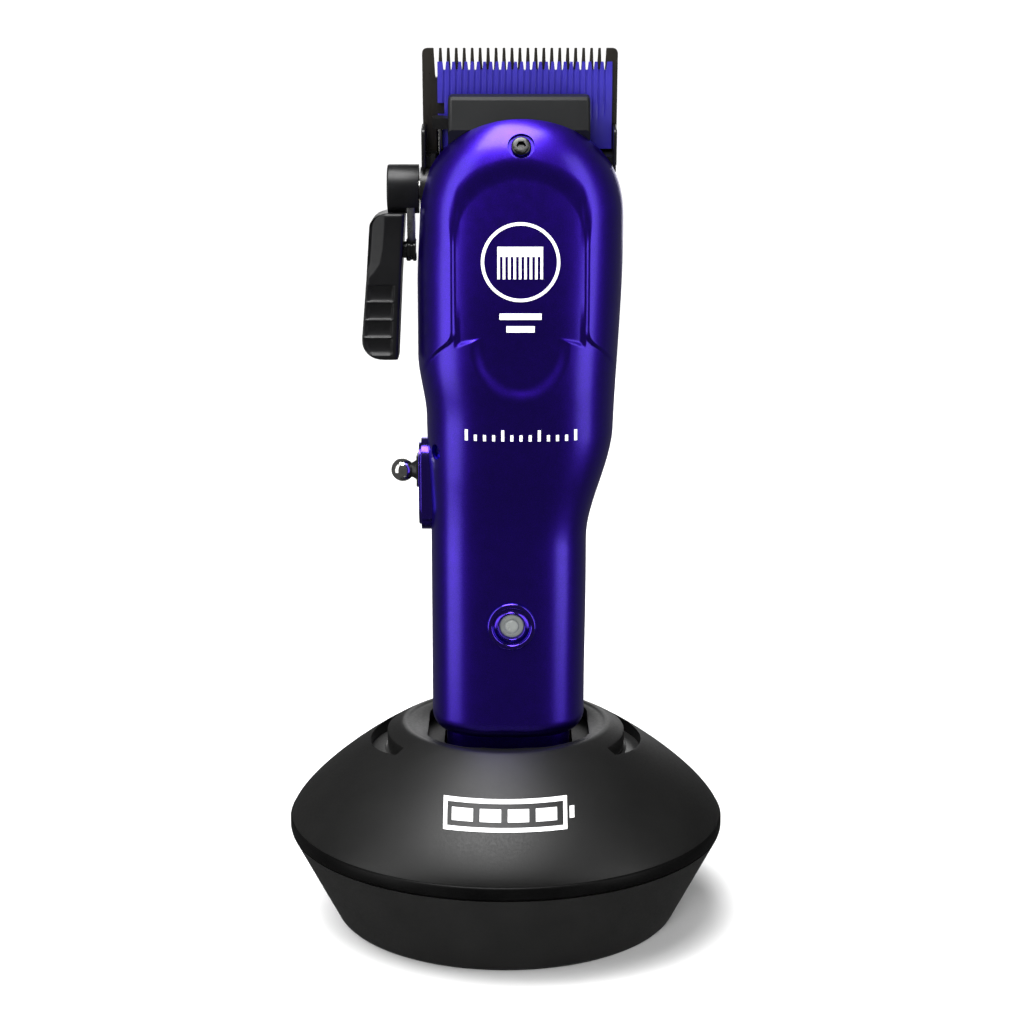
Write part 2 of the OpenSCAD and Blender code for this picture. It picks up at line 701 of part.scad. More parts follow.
module fixed_blade() {
  prong = 2.45;
  pitch = (fixed_w - 2 * prong) / (fixed_teeth + 1);
  color([0.12, 0.12, 0.13]) at_blade() difference() {
    translate([fixed_x, 0, 0]) rotate([90, 0, 90]) linear_extrude(fixed_w)
      polygon([[0, 0], [3, 0], [3, 12], [1.7, tooth_root], [0.7, fixed_h], [0, fixed_h]]);
    for (k = [0:fixed_teeth])
      gap(fixed_x + prong + pitch * (k + 0.5), pitch - 0.5, pitch - 1.2, tooth_root + 0.3, fixed_h + 1,
        -1, 4);
    for (x = blade_screw_x) translate([x, -1, 3.2]) rotate([-90, 0, 0]) cylinder(h = 6, r = 1.6);
    for (x = blade_screw_x) translate([x, 1.5, 3.2]) rotate([-90, 0, 0]) cylinder(h = 6, r = 3.1);
  }
}

module blade_screws() {
  color(steel) at_blade() for (x = blade_screw_x) translate([x, 1.5, 3.2]) rotate([-90, 0, 0]) difference() {
    union() {
      cylinder(h = 1.3, r = 2.9);
      translate([0, 0, -6.5]) cylinder(h = 6.6, r = 1.4);
    }
    translate([0, 0, 0.5]) cylinder(h = 2, r = 1.2, $fn = 6);
  }
}

moving_tip = 26.6;
moving_root = 24.9;

module moving_blade() {
  pitch = moving_w / (moving_teeth + 0.25);
  color([0.2, 0.15, 0.6]) at_blade() difference() {
    translate([moving_x, 0, 0]) rotate([90, 0, 90]) linear_extrude(moving_w)
      polygon([[-2.1, 6.2], [-blade_gap, 6.2], [-blade_gap, moving_tip], [-0.7, moving_tip], [-2.1, 19.6]]);
    for (k = [1:moving_teeth - 1])
      gap(moving_x + pitch * (k + 0.125), pitch - 0.45, pitch - 1, moving_root, moving_tip + 1, -3, 1);
    block([moving_x - 1, -3, 14.2], [moving_x + 1.6, 1, 17.2]);
    block([moving_x + moving_w - 1.6, -3, 14.2], [moving_x + moving_w + 1, 1, 17.2]);
  }
}

module blade_cover() {
  color([0.16, 0.17, 0.17]) difference() {
    union() {
      intersection() {
        at_blade() translate([-13.4, 0, 0]) rotate([90, 0, 90]) linear_extrude(33.3)
          polygon([[-2.5, 5.32], [-2.5, 19.6], [-7.6, 19.9], [-8.6, 19.3], [-12.4, 11.5], [-14, 5.32]]);
        above_lid(0.05);
      }
      // tongue that takes the head screw, inside the lid
      at_blade() translate([mid_x - 7, 0, 0]) rotate([90, 0, 90]) linear_extrude(14)
        polygon([
          [-6.15, 7.2], [-6.15, 14], [-11, 14], [-12.4, 11.5], [-16.2, 8.6], [-16.2, 6.2], [-13, 6.2]
        ]);
    }
    at_blade() {
      block([-12, -8.4, 5], [18.4, -2, 17.4]);
      block([-14, -6.3, 10.5], [-11, -2, 17.4]);
    }
    at_head_screw() translate([0, 0, -12]) cylinder(h = 20, r = 1.42);
  }
}

// ---------- Taper lever ----------
module lever_shaft() {
  color(steel) {
    translate([0, 0, lever_z]) rod_x(-27, -15.3, 2.5);
    translate([0, 0, lever_z]) rod_x(-16, -15.2, 3);
    translate([0, crank_y, crank_z]) rod_x(-16, -15.2, 1.9);
    translate([0, crank_y, crank_z]) rod_x(-15.3, -13.2, 1);
  }
}

plate_x = [-23.4, -21.6];

module lever_hub() {
  color(black) translate([0, 0, lever_z]) difference() {
    union() {
      rod_x(-27.6, -20.6, hub_d / 2);
      rod_x(-28.1, -27.6, hub_d / 2 - 0.5);
    }
    rod_x(-27, -20, 2.5);
    block([plate_x[0] - 0.02, -4.05, -10], [plate_x[1] + 0.02, 4.05, 0]);
    rod_x(plate_x[0] - 0.02, plate_x[1] + 0.02, 4.05);
  }
}

post_z = 167.5;

module lever_plate() {
  color(steel) difference() {
    union() {
      block([plate_x[0], -4, post_z + 1.5], [plate_x[1], 4, lever_z]);
      translate([0, 0, lever_z]) rod_x(plate_x[0], plate_x[1], 4);
    }
    translate([0, 0, lever_z]) rod_x(-30, -20, 2.52);
    translate([0, 0, post_z]) rod_x(-30, -20, 2.77);
  }
}

module lever_post() {
  color(black) translate([0, 0, post_z]) {
    rod_x(-23.7, -21.35, 2.75);
    rod_x(-25.4, -23.7 + eps, 2);
  }
}

module lever_paddle() {
  color(black) difference() {
    hull() {
      for (y = [-4.6, 4.6]) {
        translate([-30.6, y, 174.6]) sphere(1.6, $fn = 24);
        translate([-25.4, y, 175]) sphere(1.6, $fn = 24);
        translate([-32.6, y, 143.2]) sphere(1.7, $fn = 24);
        translate([-27.5, y, 143]) sphere(1.6, $fn = 24);
      }
    }
    translate([0, 0, lever_z]) rod_x(-40, -20, hub_d / 2 + 0.02);
    translate([0, 0, post_z]) rod_x(-25.42, -20, 2.02);
    block([-23.72, -8, 130], [-20, 8, 190]);
  }
}

// ---------- Power switch ----------
module switch_slider() {
  color(black) difference() {
    union() {
      block([-16.2, -5, switch_z - 6], [-14.2, 5, switch_z + 6]);
      block([-21.8, -2.5, switch_z - 3.8], [-16.2 + eps, 2.5, switch_z + 3.8]);
      translate([-21.8, 0, switch_z]) rotate([0, -90, 0]) cylinder(h = 1.6, r1 = 2.5, r2 = 1.6);
    }
    translate([ball_x, 0, switch_z]) sphere(ball_r + 0.01);
  }
}

module switch_ball() {
  color(steel) translate([ball_x, 0, switch_z]) sphere(ball_r);
}

dock_base();
dock_trim_ring();
dock_shell();
dock_well();
dock_feet();
dock_ballast();
dock_board();
dock_socket();
dock_screws();
contact_sleeves();
left_contact_pin();
right_contact_pin();
front_lid();
rear_lid();
tail_cap();
charge_pads();
light_bezel();
light_lens();
switch_bezel();
side_screw();
head_screw();
rear_lid_screws();
head_frame();
blade_guards();
inner_frame();
battery_cell();
battery_tabs();
circuit_board();
board_parts();
motor_can();
motor_end_cap();
motor_screws();
lever_bush();
blade_cover();
fixed_blade();
blade_screws();
rotor_shaft();
eccentric_cam();
blade_carriage();
link_rod();
tension_spring();
moving_blade();
cam_follower();
follower_screws();
lever_shaft();
lever_hub();
lever_plate();
lever_post();
lever_paddle();
switch_slider();
switch_ball();
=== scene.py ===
"""Looks of a cordless hair clipper standing in its charging dock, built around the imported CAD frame."""
import math

import bmesh
import bpy
import numpy as np
from mathutils import Matrix, Vector


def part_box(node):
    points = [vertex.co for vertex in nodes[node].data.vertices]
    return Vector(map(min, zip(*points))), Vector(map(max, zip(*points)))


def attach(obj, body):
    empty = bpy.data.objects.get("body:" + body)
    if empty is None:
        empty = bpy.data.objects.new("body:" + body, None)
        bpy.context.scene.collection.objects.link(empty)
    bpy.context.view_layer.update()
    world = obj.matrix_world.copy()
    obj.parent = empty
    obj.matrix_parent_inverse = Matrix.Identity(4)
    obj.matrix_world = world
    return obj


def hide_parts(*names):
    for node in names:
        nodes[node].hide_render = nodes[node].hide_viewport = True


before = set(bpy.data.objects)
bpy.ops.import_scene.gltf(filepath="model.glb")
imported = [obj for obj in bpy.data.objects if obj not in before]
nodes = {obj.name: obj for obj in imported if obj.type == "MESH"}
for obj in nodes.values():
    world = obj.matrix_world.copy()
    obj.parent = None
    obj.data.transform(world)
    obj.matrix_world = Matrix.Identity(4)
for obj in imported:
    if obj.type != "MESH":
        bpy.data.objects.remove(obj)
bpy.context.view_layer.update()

MM = 0.001
scene = bpy.context.scene
scene.view_settings.view_transform = "Standard"


def box_mm(node):
    """Lowest and highest corner of a CAD node, in millimetres."""
    low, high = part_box(node)
    return np.array(low) / MM, np.array(high) / MM


# ---------- Sizes of the body, in millimetres ----------
WALL = 1.8
TAIL_Z = box_mm("front_lid")[0][2]
TAIL_ROUND = 4.5
MID_X = 3.5             # middle of the head
CROWN_Z = 176           # where the head's arch starts
CROWN_H = 25.5
SQUARE = 2.8            # exponent of the rounded section
CUT_SLOPE = 1.5         # the front lid ends on a plane that rises towards the front
CUT_Z = 181
ARCH_ROWS_Z = 172        # rows of the shell follow the arch above this height
REAR_TOP = box_mm("rear_lid")[1][2]
BLADE_AT = Matrix.Translation((0, 3.5, 185.7)) @ Matrix.Rotation(math.radians(10), 4, "X")


def smooth(v, a, b):
    t = np.clip((v - a) / (b - a), 0, 1)
    return t * t * (3 - 2 * t)


def tail_inset(z):
    drop = np.clip(TAIL_Z + TAIL_ROUND - z, 0, TAIL_ROUND)
    return TAIL_ROUND - np.sqrt(TAIL_ROUND ** 2 - drop ** 2)


def side_left(z):
    return 18.25 + 0.9 * smooth(z, 100, 128) + 1.95 * smooth(z, 127, 143) - 0.75 * smooth(z, 160, 180)


def side_right(z):
    return 19.55 + 0.3 * smooth(z, 57, 90) + 6.1 * smooth(z, 97, 125) + 2.2 * smooth(z, 115, 172)


def depth_of(z, side):
    if side < 0:
        return 15.8 + 5.8 * smooth(z, 96, 146) - 1.6 * smooth(z, 160, 196)
    return 14.8 + 2.2 * smooth(z, 90, 140) - 7.5 * smooth(z, 152, 190)


def smooth_min(a, b, k):
    h = np.clip(0.5 + 0.5 * (b - a) / k, 0, 1)
    return b * (1 - h) + a * h - k * h * (1 - h)


def relief(x, z):
    """How far the lid's face lies below its smooth skin: the panel, the step under the hood and the scoop."""
    dx = np.abs(x - MID_X)
    wing = 14.3 * (np.hypot(np.maximum(dx - 8, 0) / 14.5, np.maximum(z - 134, 0) / 14.2) - 1)
    arch = np.hypot(dx, np.maximum(z - 170.5, 0) * 1.02) - 15.1
    edge = 1.15 + 4.5 * smooth(z, 170, 185)
    hood = smooth(smooth_min(arch, wing - 1.2, 2.2), 0, edge)
    scoop = 12 * (1 - np.hypot(dx / 11.9, np.maximum(147.5 - z, 0) / 14.2))
    above = smooth(wing, -0.2, 1.0) * smooth(15.6 - dx, 0, 1.6)
    floor = np.maximum(smooth(scoop, 0, 3.4), above)
    neck = 0.95 * smooth(z, 112, 133)
    panel = 0.95 + 0.75 * smooth(z, 168, 184) + 1.2 * (1 - smooth(z, 141, 158)) * smooth(z, 130, 137)
    return (1 - hood) * (neck * (1 - floor) + panel * floor)


def lid_y(x, z, side=-1, inset=0.0):
    """The shell's surface over a point of the parting plane."""
    half = (side_left(z) + side_right(z)) / 2 - inset
    mid = (side_right(z) - side_left(z)) / 2
    u = np.clip((z - CROWN_Z) / CROWN_H, 0, 1)
    rho = np.clip(np.hypot((x - mid) / half, u), 0, 1)
    swell = (1 - rho ** SQUARE) ** (1 / SQUARE)
    y = side * (depth_of(z, side) - inset) * swell
    return y + relief(x, z) * swell if side < 0 else y


# ---------- Mesh helpers ----------
def add_piece(name, vertices, faces, material, at=None):
    """A mesh object from millimetre vertices, optionally placed by a matrix in millimetres."""
    mesh = bpy.data.meshes.new(name)
    placed = vertices if at is None else [at @ Vector(v) for v in vertices]
    mesh.from_pydata([Vector(v) * MM for v in placed], [], faces)
    mesh.materials.append(material)
    piece = bpy.data.objects.new(name, mesh)
    scene.collection.objects.link(piece)
    tidy_normals(piece)
    return piece


def tidy_normals(piece):
    work = bmesh.new()
    work.from_mesh(piece.data)
    bmesh.ops.recalc_face_normals(work, faces=work.faces)
    work.to_mesh(piece.data)
    work.free()


def apply_modifiers(piece):
    graph = bpy.context.evaluated_depsgraph_get()
    mesh = bpy.data.meshes.new_from_object(piece.evaluated_get(graph))
    piece.modifiers.clear()
    piece.data = mesh


def bevel(piece, width, segments=3, angle=35):
    """Rounds a piece's sharp edges, width in millimetres."""
    modifier = piece.modifiers.new("edges", "BEVEL")
    modifier.width = width * MM
    modifier.segments = segments
    modifier.limit_method = "ANGLE"
    modifier.angle_limit = math.radians(angle)
    modifier.harden_normals = False
    apply_modifiers(piece)
    return piece


def cut(piece, *cutters, operation="DIFFERENCE"):
    """Cuts pieces out of a piece, or joins them to it, and removes them."""
    for cutter in cutters:
        modifier = piece.modifiers.new("cut", "BOOLEAN")
        modifier.operation = operation
        modifier.solver = "EXACT"
        modifier.object = cutter
    apply_modifiers(piece)
    for cutter in cutters:
        bpy.data.objects.remove(cutter)
    return piece


def place(piece, body, slot, *replaced, angle=35):
    """Shades a piece, puts it on its body and lets it stand for CAD nodes."""
    piece.data.shade_smooth()
    piece.data.set_sharp_from_angle(angle=math.radians(angle))
    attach(piece, body)
    if replaced:
        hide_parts(*replaced)
    return piece


# Where a drawing's two numbers and its depth go, for an axis of extrusion
ALONG = {
    "x": lambda a, b, c: (c, a, b),
    "y": lambda a, b, c: (a, c, b),
    "z": lambda a, b, c: (a, b, c),
}


def prism(name, outline, low, high, material, at=None, axis="x"):
    """A closed prism: the outline's two numbers are (y, z) for axis x, (x, z) for y and (x, y) for z."""
    put = ALONG[axis]
    count = len(outline)
    vertices = [put(a, b, c) for c in (low, high) for a, b in outline]
    faces = [list(range(count)), list(range(count, 2 * count))[::-1]]
    faces += [(i, (i + 1) % count, count + (i + 1) % count, count + i) for i in range(count)]
    return add_piece(name, vertices, faces, material, at)


def prisms(name, outlines, low, high, material, at=None, axis="x"):
    """Several separate prisms in one mesh, so one cut takes them all."""
    put = ALONG[axis]
    vertices, faces = [], []
    for outline in outlines:
        start, count = len(vertices), len(outline)
        vertices += [put(a, b, c) for c in (low, high) for a, b in outline]
        faces += [list(range(start, start + count)), list(range(start + count, start + 2 * count))[::-1]]
        faces += [(start + i, start + (i + 1) % count, start + count + (i + 1) % count, start + count + i)
                  for i in range(count)]
    return add_piece(name, vertices, faces, material, at)


def block(name, low, high, material, at=None):
    outline = [(low[0], low[1]), (high[0], low[1]), (high[0], high[1]), (low[0], high[1])]
    return prism(name, outline, low[2], high[2], material, at, "z")


def lathe(name, profile, material, at=None, steps=96):
    """A closed solid turned round local Z from (radius, height) points; radius 0 ends close on the axis."""
    vertices, rings = [], []
    for radius, height in profile:
        if radius < 1e-6:
            rings.append([len(vertices)] * steps)
            vertices.append((0, 0, height))
            continue
        rings.append(list(range(len(vertices), len(vertices) + steps)))
        vertices += [(radius * math.cos(t), radius * math.sin(t), height) for t in turn(steps)]
    closed = profile[0][0] > 1e-6
    pairs = list(zip(rings, rings[1:])) + ([(rings[-1], rings[0])] if closed else [])
    faces = []
    for a, b in pairs:
        for i in range(steps):
            j = (i + 1) % steps
            face = list(dict.fromkeys((a[i], a[j], b[j], b[i])))
            if len(face) > 2:
                faces.append(face)
    return add_piece(name, vertices, faces, material, at)


def turn(steps):
    return [2 * math.pi * k / steps for k in range(steps)]


def arc(cx, cy, r, start, stop, steps=8):
    """Points on an arc, angles in degrees."""
    angles = [math.radians(start + (stop - start) * k / steps) for k in range(steps + 1)]
    return [(cx + r * math.cos(t), cy + r * math.sin(t)) for t in angles]


def rounded(x0, x1, y0, y1, r, steps=8):
    """Outline of a rounded rectangle."""
    corners = [(x1 - r, y0 + r, -90), (x1 - r, y1 - r, 0), (x0 + r, y1 - r, 90), (x0 + r, y0 + r, 180)]
    return [p for cx, cy, start in corners for p in arc(cx, cy, r, start, start + 90, steps)]


def turned_to(origin, direction, up=(0, 0, 1)):
    """A matrix that puts local Z along a direction at an origin, in millimetres."""
    z = Vector(direction).normalized()
    x = Vector(up).cross(z).normalized()
    return Matrix.Translation(origin) @ Matrix((x, z.cross(x), z)).transposed().to_4x4()


def along_x(x, y, z):
    return turned_to((x, y, z), (-1, 0, 0))


# ---------- Materials ----------
class Nodes:
    """A small helper that builds one material's node tree."""

    def __init__(self, name, **inputs):
        self.material = bpy.data.materials.new(name)
        self.material.use_nodes = True
        self.tree = self.material.node_tree
        self.shader = self.tree.nodes["Principled BSDF"]
        self.at = self.add("ShaderNodeTexCoord").outputs["Object"]
        for key, value in inputs.items():
            self.shader.inputs[key.replace("_", " ")].default_value = value

    def add(self, kind, **settings):
        node = self.tree.nodes.new(kind)
        for key, value in settings.items():
            setattr(node, key, value)
        return node

    def link(self, a, b):
        self.tree.links.new(a, b)

    def noise(self, scale, detail=3.0, stretch=None):
        """Noise in object space, scale in cycles per metre, optionally stretched along the axes."""
        texture = self.add("ShaderNodeTexNoise")
        texture.inputs["Scale"].default_value = scale
        texture.inputs["Detail"].default_value = detail
        source = self.at
        if stretch:
            mapping = self.add("ShaderNodeMapping")
            mapping.inputs["Scale"].default_value = stretch
            self.link(source, mapping.inputs["Vector"])
            source = mapping.outputs["Vector"]
        self.link(source, texture.inputs["Vector"])
        return texture.outputs["Fac"]

    def ramp(self, source, low, high, start=0.3, stop=0.7):
        """Maps a value from start..stop to low..high."""
        node = self.add("ShaderNodeMapRange")
        for key, value in (("From Min", start), ("From Max", stop), ("To Min", low), ("To Max", high)):
            node.inputs[key].default_value = value
        self.link(source, node.inputs["Value"])
        return node.outputs["Result"]

    def colours(self, source, first, second, start=0.3, stop=0.7):
        node = self.add("ShaderNodeValToRGB")
        node.color_ramp.elements[0].position = start
        node.color_ramp.elements[0].color = (*first, 1)
        node.color_ramp.elements[1].position = stop
        node.color_ramp.elements[1].color = (*second, 1)
        self.link(source, node.inputs["Fac"])
        self.link(node.outputs["Color"], self.shader.inputs["Base Color"])

    def roughness(self, source):
        self.link(source, self.shader.inputs["Roughness"])

    def bump(self, source, height, strength=1.0):
        """Bump of a height in millimetres."""
        node = self.add("ShaderNodeBump")
        node.inputs["Strength"].default_value = strength
        node.inputs["Distance"].default_value = height * MM
        self.link(source, node.inputs["Height"])
        before = self.shader.inputs["Normal"].links
        if before:
            self.link(before[0].from_socket, node.inputs["Normal"])
        self.link(node.outputs["Normal"], self.shader.inputs["Normal"])


def metallic_paint(name, dark, light, rough=0.3):
    """Satin lacquer with fine metal flake under it."""
    m = Nodes(name, Metallic=1.0, Coat_Weight=0.7, Coat_Roughness=0.24)
    m.colours(m.noise(5200, 2), dark, light, 0.35, 0.75)
    m.roughness(m.ramp(m.noise(420, 4), rough - 0.02, rough + 0.04))
    m.bump(m.noise(5200, 1), 0.0035)
    m.bump(m.noise(260, 2), 0.004)
    return m.material


def moulded(name, dark, light, rough, grain=1500, height=0.006, specular=0.5):
    """Moulded plastic with a spark-eroded grain and a slight change of gloss."""
    m = Nodes(name)
    m.shader.inputs["Specular IOR Level"].default_value = specular
    m.colours(m.noise(90, 4), dark, light)
    m.roughness(m.ramp(m.noise(grain * 0.6, 3), rough - 0.03, rough + 0.05))
    m.bump(m.noise(grain, 2), height)
    return m.material


def brushed(name, dark, light, rough, stretch=(1, 1, 30), height=0.003):
    """Metal with fine lines along one axis."""
    m = Nodes(name, Metallic=1.0)
    lines = m.noise(900, 4, stretch)
    m.colours(lines, dark, light)
    m.roughness(m.ramp(lines, rough - 0.05, rough + 0.08))
    m.bump(lines, height)
    return m.material


VIOLET_DARK = (0.032, 0.002, 0.44)
VIOLET_LIGHT = (0.064, 0.006, 0.70)
paint = metallic_paint("violet_paint", VIOLET_DARK, VIOLET_LIGHT, 0.36)
gloss_paint = metallic_paint("violet_bright", (0.05, 0.01, 0.5), (0.10, 0.03, 0.8), 0.13)
dock_black = moulded("dock_satin_black", (0.0035, 0.0035, 0.0034), (0.005, 0.005, 0.0048),
                     0.44, 2600, 0.004, 0.42)
# The cone is the dome's black plastic, coloured lighter: painted light standing in for floor bounce and
# reflection on the cone.
cone_black_painted_light = moulded("dock_cone_painted_bounce_light", (0.0065, 0.0065, 0.0063), (0.009, 0.009, 0.0087),
                     0.4, 2600, 0.004, 0.6)
ring_black = moulded("ring_black", (0.001, 0.001, 0.001), (0.002, 0.002, 0.002), 0.4, 2600, 0.003, 0.12)
step_black = moulded("slot_step_black", (0.026, 0.026, 0.0255), (0.032, 0.032, 0.0315), 0.34, 2600, 0.004)
frame_black = moulded("frame_black", (0.004, 0.004, 0.004), (0.007, 0.007, 0.007), 0.32)
lever_black = moulded("lever_black", (0.003, 0.003, 0.0034), (0.005, 0.005, 0.0055), 0.36, 1800, 0.004, 0.38)
gloss_black = moulded("gloss_black", (0.004, 0.004, 0.004), (0.006, 0.006, 0.006), 0.12, 300, 0.002)
rubber = moulded("rubber_black", (0.015, 0.015, 0.015), (0.03, 0.03, 0.03), 0.75, 900, 0.02, 0.3)
cover_grey = moulded("cover_grey", (0.004, 0.0043, 0.0046), (0.006, 0.0064, 0.0067), 0.48, 1500, 0.005, 0.3)
blade_violet = moulded("blade_violet", (0.016, 0.011, 0.19), (0.022, 0.016, 0.24), 0.34, 1200, 0.003)
blade_black = moulded("blade_black", (0.010, 0.0088, 0.007), (0.014, 0.012, 0.0095), 0.3, 1000, 0.002, 0.6)
chrome = brushed("chrome", (0.72, 0.71, 0.69), (0.82, 0.81, 0.79), 0.09, (1, 1, 1), 0.0006)
steel = brushed("brushed_steel", (0.42, 0.42, 0.42), (0.66, 0.66, 0.65), 0.3, (1, 0.06, 1))
dark_steel = brushed("dark_steel", (0.05, 0.05, 0.05), (0.10, 0.10, 0.10), 0.22, (1, 1, 1), 0.001)
gold = brushed("gold_plate", (0.72, 0.46, 0.16), (0.84, 0.58, 0.24), 0.2, (1, 1, 1), 0.001)
lens_grey = moulded("lens_grey", (0.13, 0.14, 0.135), (0.18, 0.19, 0.185), 0.25, 500, 0.004)
print_white = moulded("print_white", (0.78, 0.78, 0.78), (0.86, 0.86, 0.86), 0.5, 3000, 0.002)
board_green = moulded("board_green", (0.01, 0.10, 0.04), (0.02, 0.15, 0.06), 0.4, 700, 0.01)
cell_wrap = moulded("cell_wrap", (0.02, 0.12, 0.34), (0.03, 0.17, 0.44), 0.35, 300, 0.004)
acetal = moulded("acetal_white", (0.62, 0.61, 0.56), (0.72, 0.71, 0.66), 0.45, 900, 0.006)


# ---------- Body shells ----------
def shell_rows(inset, side, fine):
    """Heights of the shell's rows below the arch, denser where the relief is."""
    bottom = TAIL_Z + inset
    foot = [bottom + TAIL_ROUND * (1 - math.cos(math.radians(a))) for a in np.linspace(0, 90, 13)[:-1]]
    if side > 0:
        return foot + list(np.linspace(bottom + TAIL_ROUND, ARCH_ROWS_Z, 90))
    spans = ((bottom + TAIL_ROUND, 110, 90), (110, 131, 60), (131, 152, 140), (152, ARCH_ROWS_Z, 60))
    share = 1 if fine else 4
    rows = [z for a, b, count in spans for z in np.linspace(a, b, max(4, count // share), endpoint=False)]
    return foot + rows + [ARCH_ROWS_Z]


def shell_grid(inset, side, columns, fine):
    """Points of one skin of a half shell, as rows of columns; the top row lies on the lid's end plane."""
    across = np.sin(np.linspace(-math.pi / 2, math.pi / 2, columns + 1))
    rows = shell_rows(inset, side, fine)
    top_steps = 90 if (side < 0 and fine) else 24

    def row(z, fixed):
        z = np.full_like(across, z) if fixed else z
        u = np.clip((z - CROWN_Z) / (CROWN_H - inset), 0, 1)
        shrink = inset + tail_inset(z - inset)
        half = (side_left(z) + side_right(z)) / 2 - shrink
        mid = (side_right(z) - side_left(z)) / 2
        a = across * np.sqrt(1 - u * u)
        x = mid + half * a
        swell = (1 - np.clip(np.hypot(a, u), 0, 1) ** SQUARE) ** (1 / SQUARE)
        y = side * (depth_of(z, side) - shrink) * swell
        if side < 0:
            y = y + relief(x, z) * swell
        return np.stack([x, y, z], -1)

    low, high = np.full_like(across, 176.0), np.full_like(across, CROWN_Z + CROWN_H - inset)
    for _ in range(30):
        middle = (low + high) / 2
        past = row(middle, False)
        over = past[:, 2] + CUT_SLOPE * past[:, 1] > CUT_Z if side < 0 else middle > REAR_TOP
        high = np.where(over, middle, high)
        low = np.where(over, low, middle)
    grid = [row(z, True) for z in rows]
    grid += [row(ARCH_ROWS_Z + (low - ARCH_ROWS_Z) * k / top_steps, False) for k in range(1, top_steps + 1)]
    return np.array(grid)


def half_shell(name, side, columns, material):
    """A closed half shell: a fine outer skin, a plain inner one, a floor and flat rims."""
    outer = shell_grid(0, side, columns, True)
    inner = shell_grid(WALL, side, columns, True)
    rows, width = outer.shape[:2]
    count = rows * width
    points = np.concatenate([outer.reshape(-1, 3), inner.reshape(-1, 3)])
    index = np.arange(count).reshape(rows, width)
    a, b, c, d = index[:-1, :-1], index[1:, :-1], index[1:, 1:], index[:-1, 1:]
    quads = np.stack([a, b, c, d], -1).reshape(-1, 4)
    faces = [tuple(q) for q in quads] + [tuple(q + count) for q in quads[:, ::-1]]
    for edge in (index[:, 0], index[:, -1], index[-1]):
        faces += [(p, q, q + count, p + count) for p, q in zip(edge[:-1], edge[1:])]
    faces.append(tuple(index[0]))
    faces.append(tuple(index[0] + count))
    first, last = index[0, 0], index[0, -1]
    faces.append((first, last, last + count, first + count))
    return add_piece(name, [tuple(p) for p in points], faces, material)


HEAD_SCREW = turned_to((3.7, -17.4, 193.4), (0, -math.sin(math.radians(64)), math.cos(math.radians(64))))
SIDE_SCREW = Matrix.Translation((-15.8, -10, 120.1)) @ Matrix.Rotation(math.radians(-90), 4, "Y") \
    @ Matrix.Rotation(math.radians(48), 4, "X")
LIGHT_AT = turned_to((1.5, -12.6, 77.9), (0, -1, 0))
LEVER_Z = 182
SWITCH_PLATE_Z = 110.15


def stadium(half, r, steps=24):
    """Outline of the switch plate in (y, z), upright."""
    ends = arc(0, half - r, r, 0, 180, steps) + arc(0, r - half, r, 180, 360, steps)
    return [(y, SWITCH_PLATE_Z + z) for y, z in ends]


def shell_cutters(tag, side):
    cutters = [
        lathe(f"{tag}_hub_way", [(0, -14), (6.4, -14), (6.4, 14), (0, 14)], paint,
              along_x(-19, 0, LEVER_Z), 72),
        prism(f"{tag}_switch_way", stadium(11.48, 6.03), -26, -14, paint),
        prism(f"{tag}_neck_way", rounded(-14.63, 15.93, -11.03, 11.03, 5.5),
              TAIL_Z - 5, TAIL_Z + 7, paint, axis="z"),
    ]
    if side < 0:
        seat = [(0, -7), (1.8, -7), (1.8, -1.2), (3.15, -1.2), (3.15, 0.55), (3.4, 0.8),
                (4.6, 2.2), (4.6, 8), (0, 8)]
        cutters.append(lathe(f"{tag}_head_screw_way", seat, paint, HEAD_SCREW, 64))
        side_seat = [(0, -8), (1.2, -8), (1.2, -0.9), (1.9, -0.9), (1.9, 6), (0, 6)]
        cutters.append(lathe(f"{tag}_side_screw_way", side_seat, paint, SIDE_SCREW, 48))
        light_seat = [(0, -6), (5.93, -6), (5.93, 8), (0, 8)]
        cutters.append(lathe(f"{tag}_light_way", light_seat, paint, LIGHT_AT, 72))
    else:
        for k, (x, z) in enumerate(REAR_SCREWS):
            seat = [(0, -9), (1.6, -9), (1.6, 0), (3, 0), (3, 6), (0, 6)]
            cutters.append(lathe(f"{tag}_screw_way_{k}", seat, paint, rear_screw_frame(x, z), 48))
    return cutters


REAR_SCREWS = [(-8.35, 125), (12.65, 125), (MID_X - 12, 177), (MID_X + 12, 177)]


def rear_screw_frame(x, z):
    return turned_to((x, float(depth_of(z, 1)) - 1.1, z), (0, 1, 0))


def body_shells():
    front = half_shell("front_shell", -1, 260, paint)
    cut(front, *shell_cutters("front", -1))
    place(front, "clipper", "shell_paint", "front_lid", angle=42)
    rear = half_shell("rear_shell", 1, 110, paint)
    cut(rear, *shell_cutters("rear", 1))
    place(rear, "clipper", "shell_paint", "rear_lid", angle=42)


# ---------- Light, switch and screws ----------
def charge_light():
    ring = [(2.85, 0), (5.85, 0), (5.9, 3.3)]
    ring += arc(5.35, 3.35, 0.55, 0, 90, 6) + arc(5.05, 3.35, 0.55, 90, 170, 6)
    ring += [(4.4, 3.22)] + arc(4.0, 3.3, 0.32, 200, 340, 6) + arc(3.35, 3.3, 0.3, 20, 180, 6) + [(2.85, 3.0)]
    bezel = lathe("light_ring", ring, gloss_paint, LIGHT_AT, 128)
    place(bezel, "clipper", "bezel_metal", "light_bezel", angle=60)
    dome = [(0, 0), (2.8, 0), (2.8, 2.5), (2.2, 2.62), (1.75, 2.75)]
    dome += arc(0.9, 2.75, 0.85, 0, 90, 8) + [(0, 3.62)]
    lens = lathe("light_window", dome, lens_grey, LIGHT_AT, 96)
    place(lens, "clipper", "light_lens", "light_lens", angle=50)


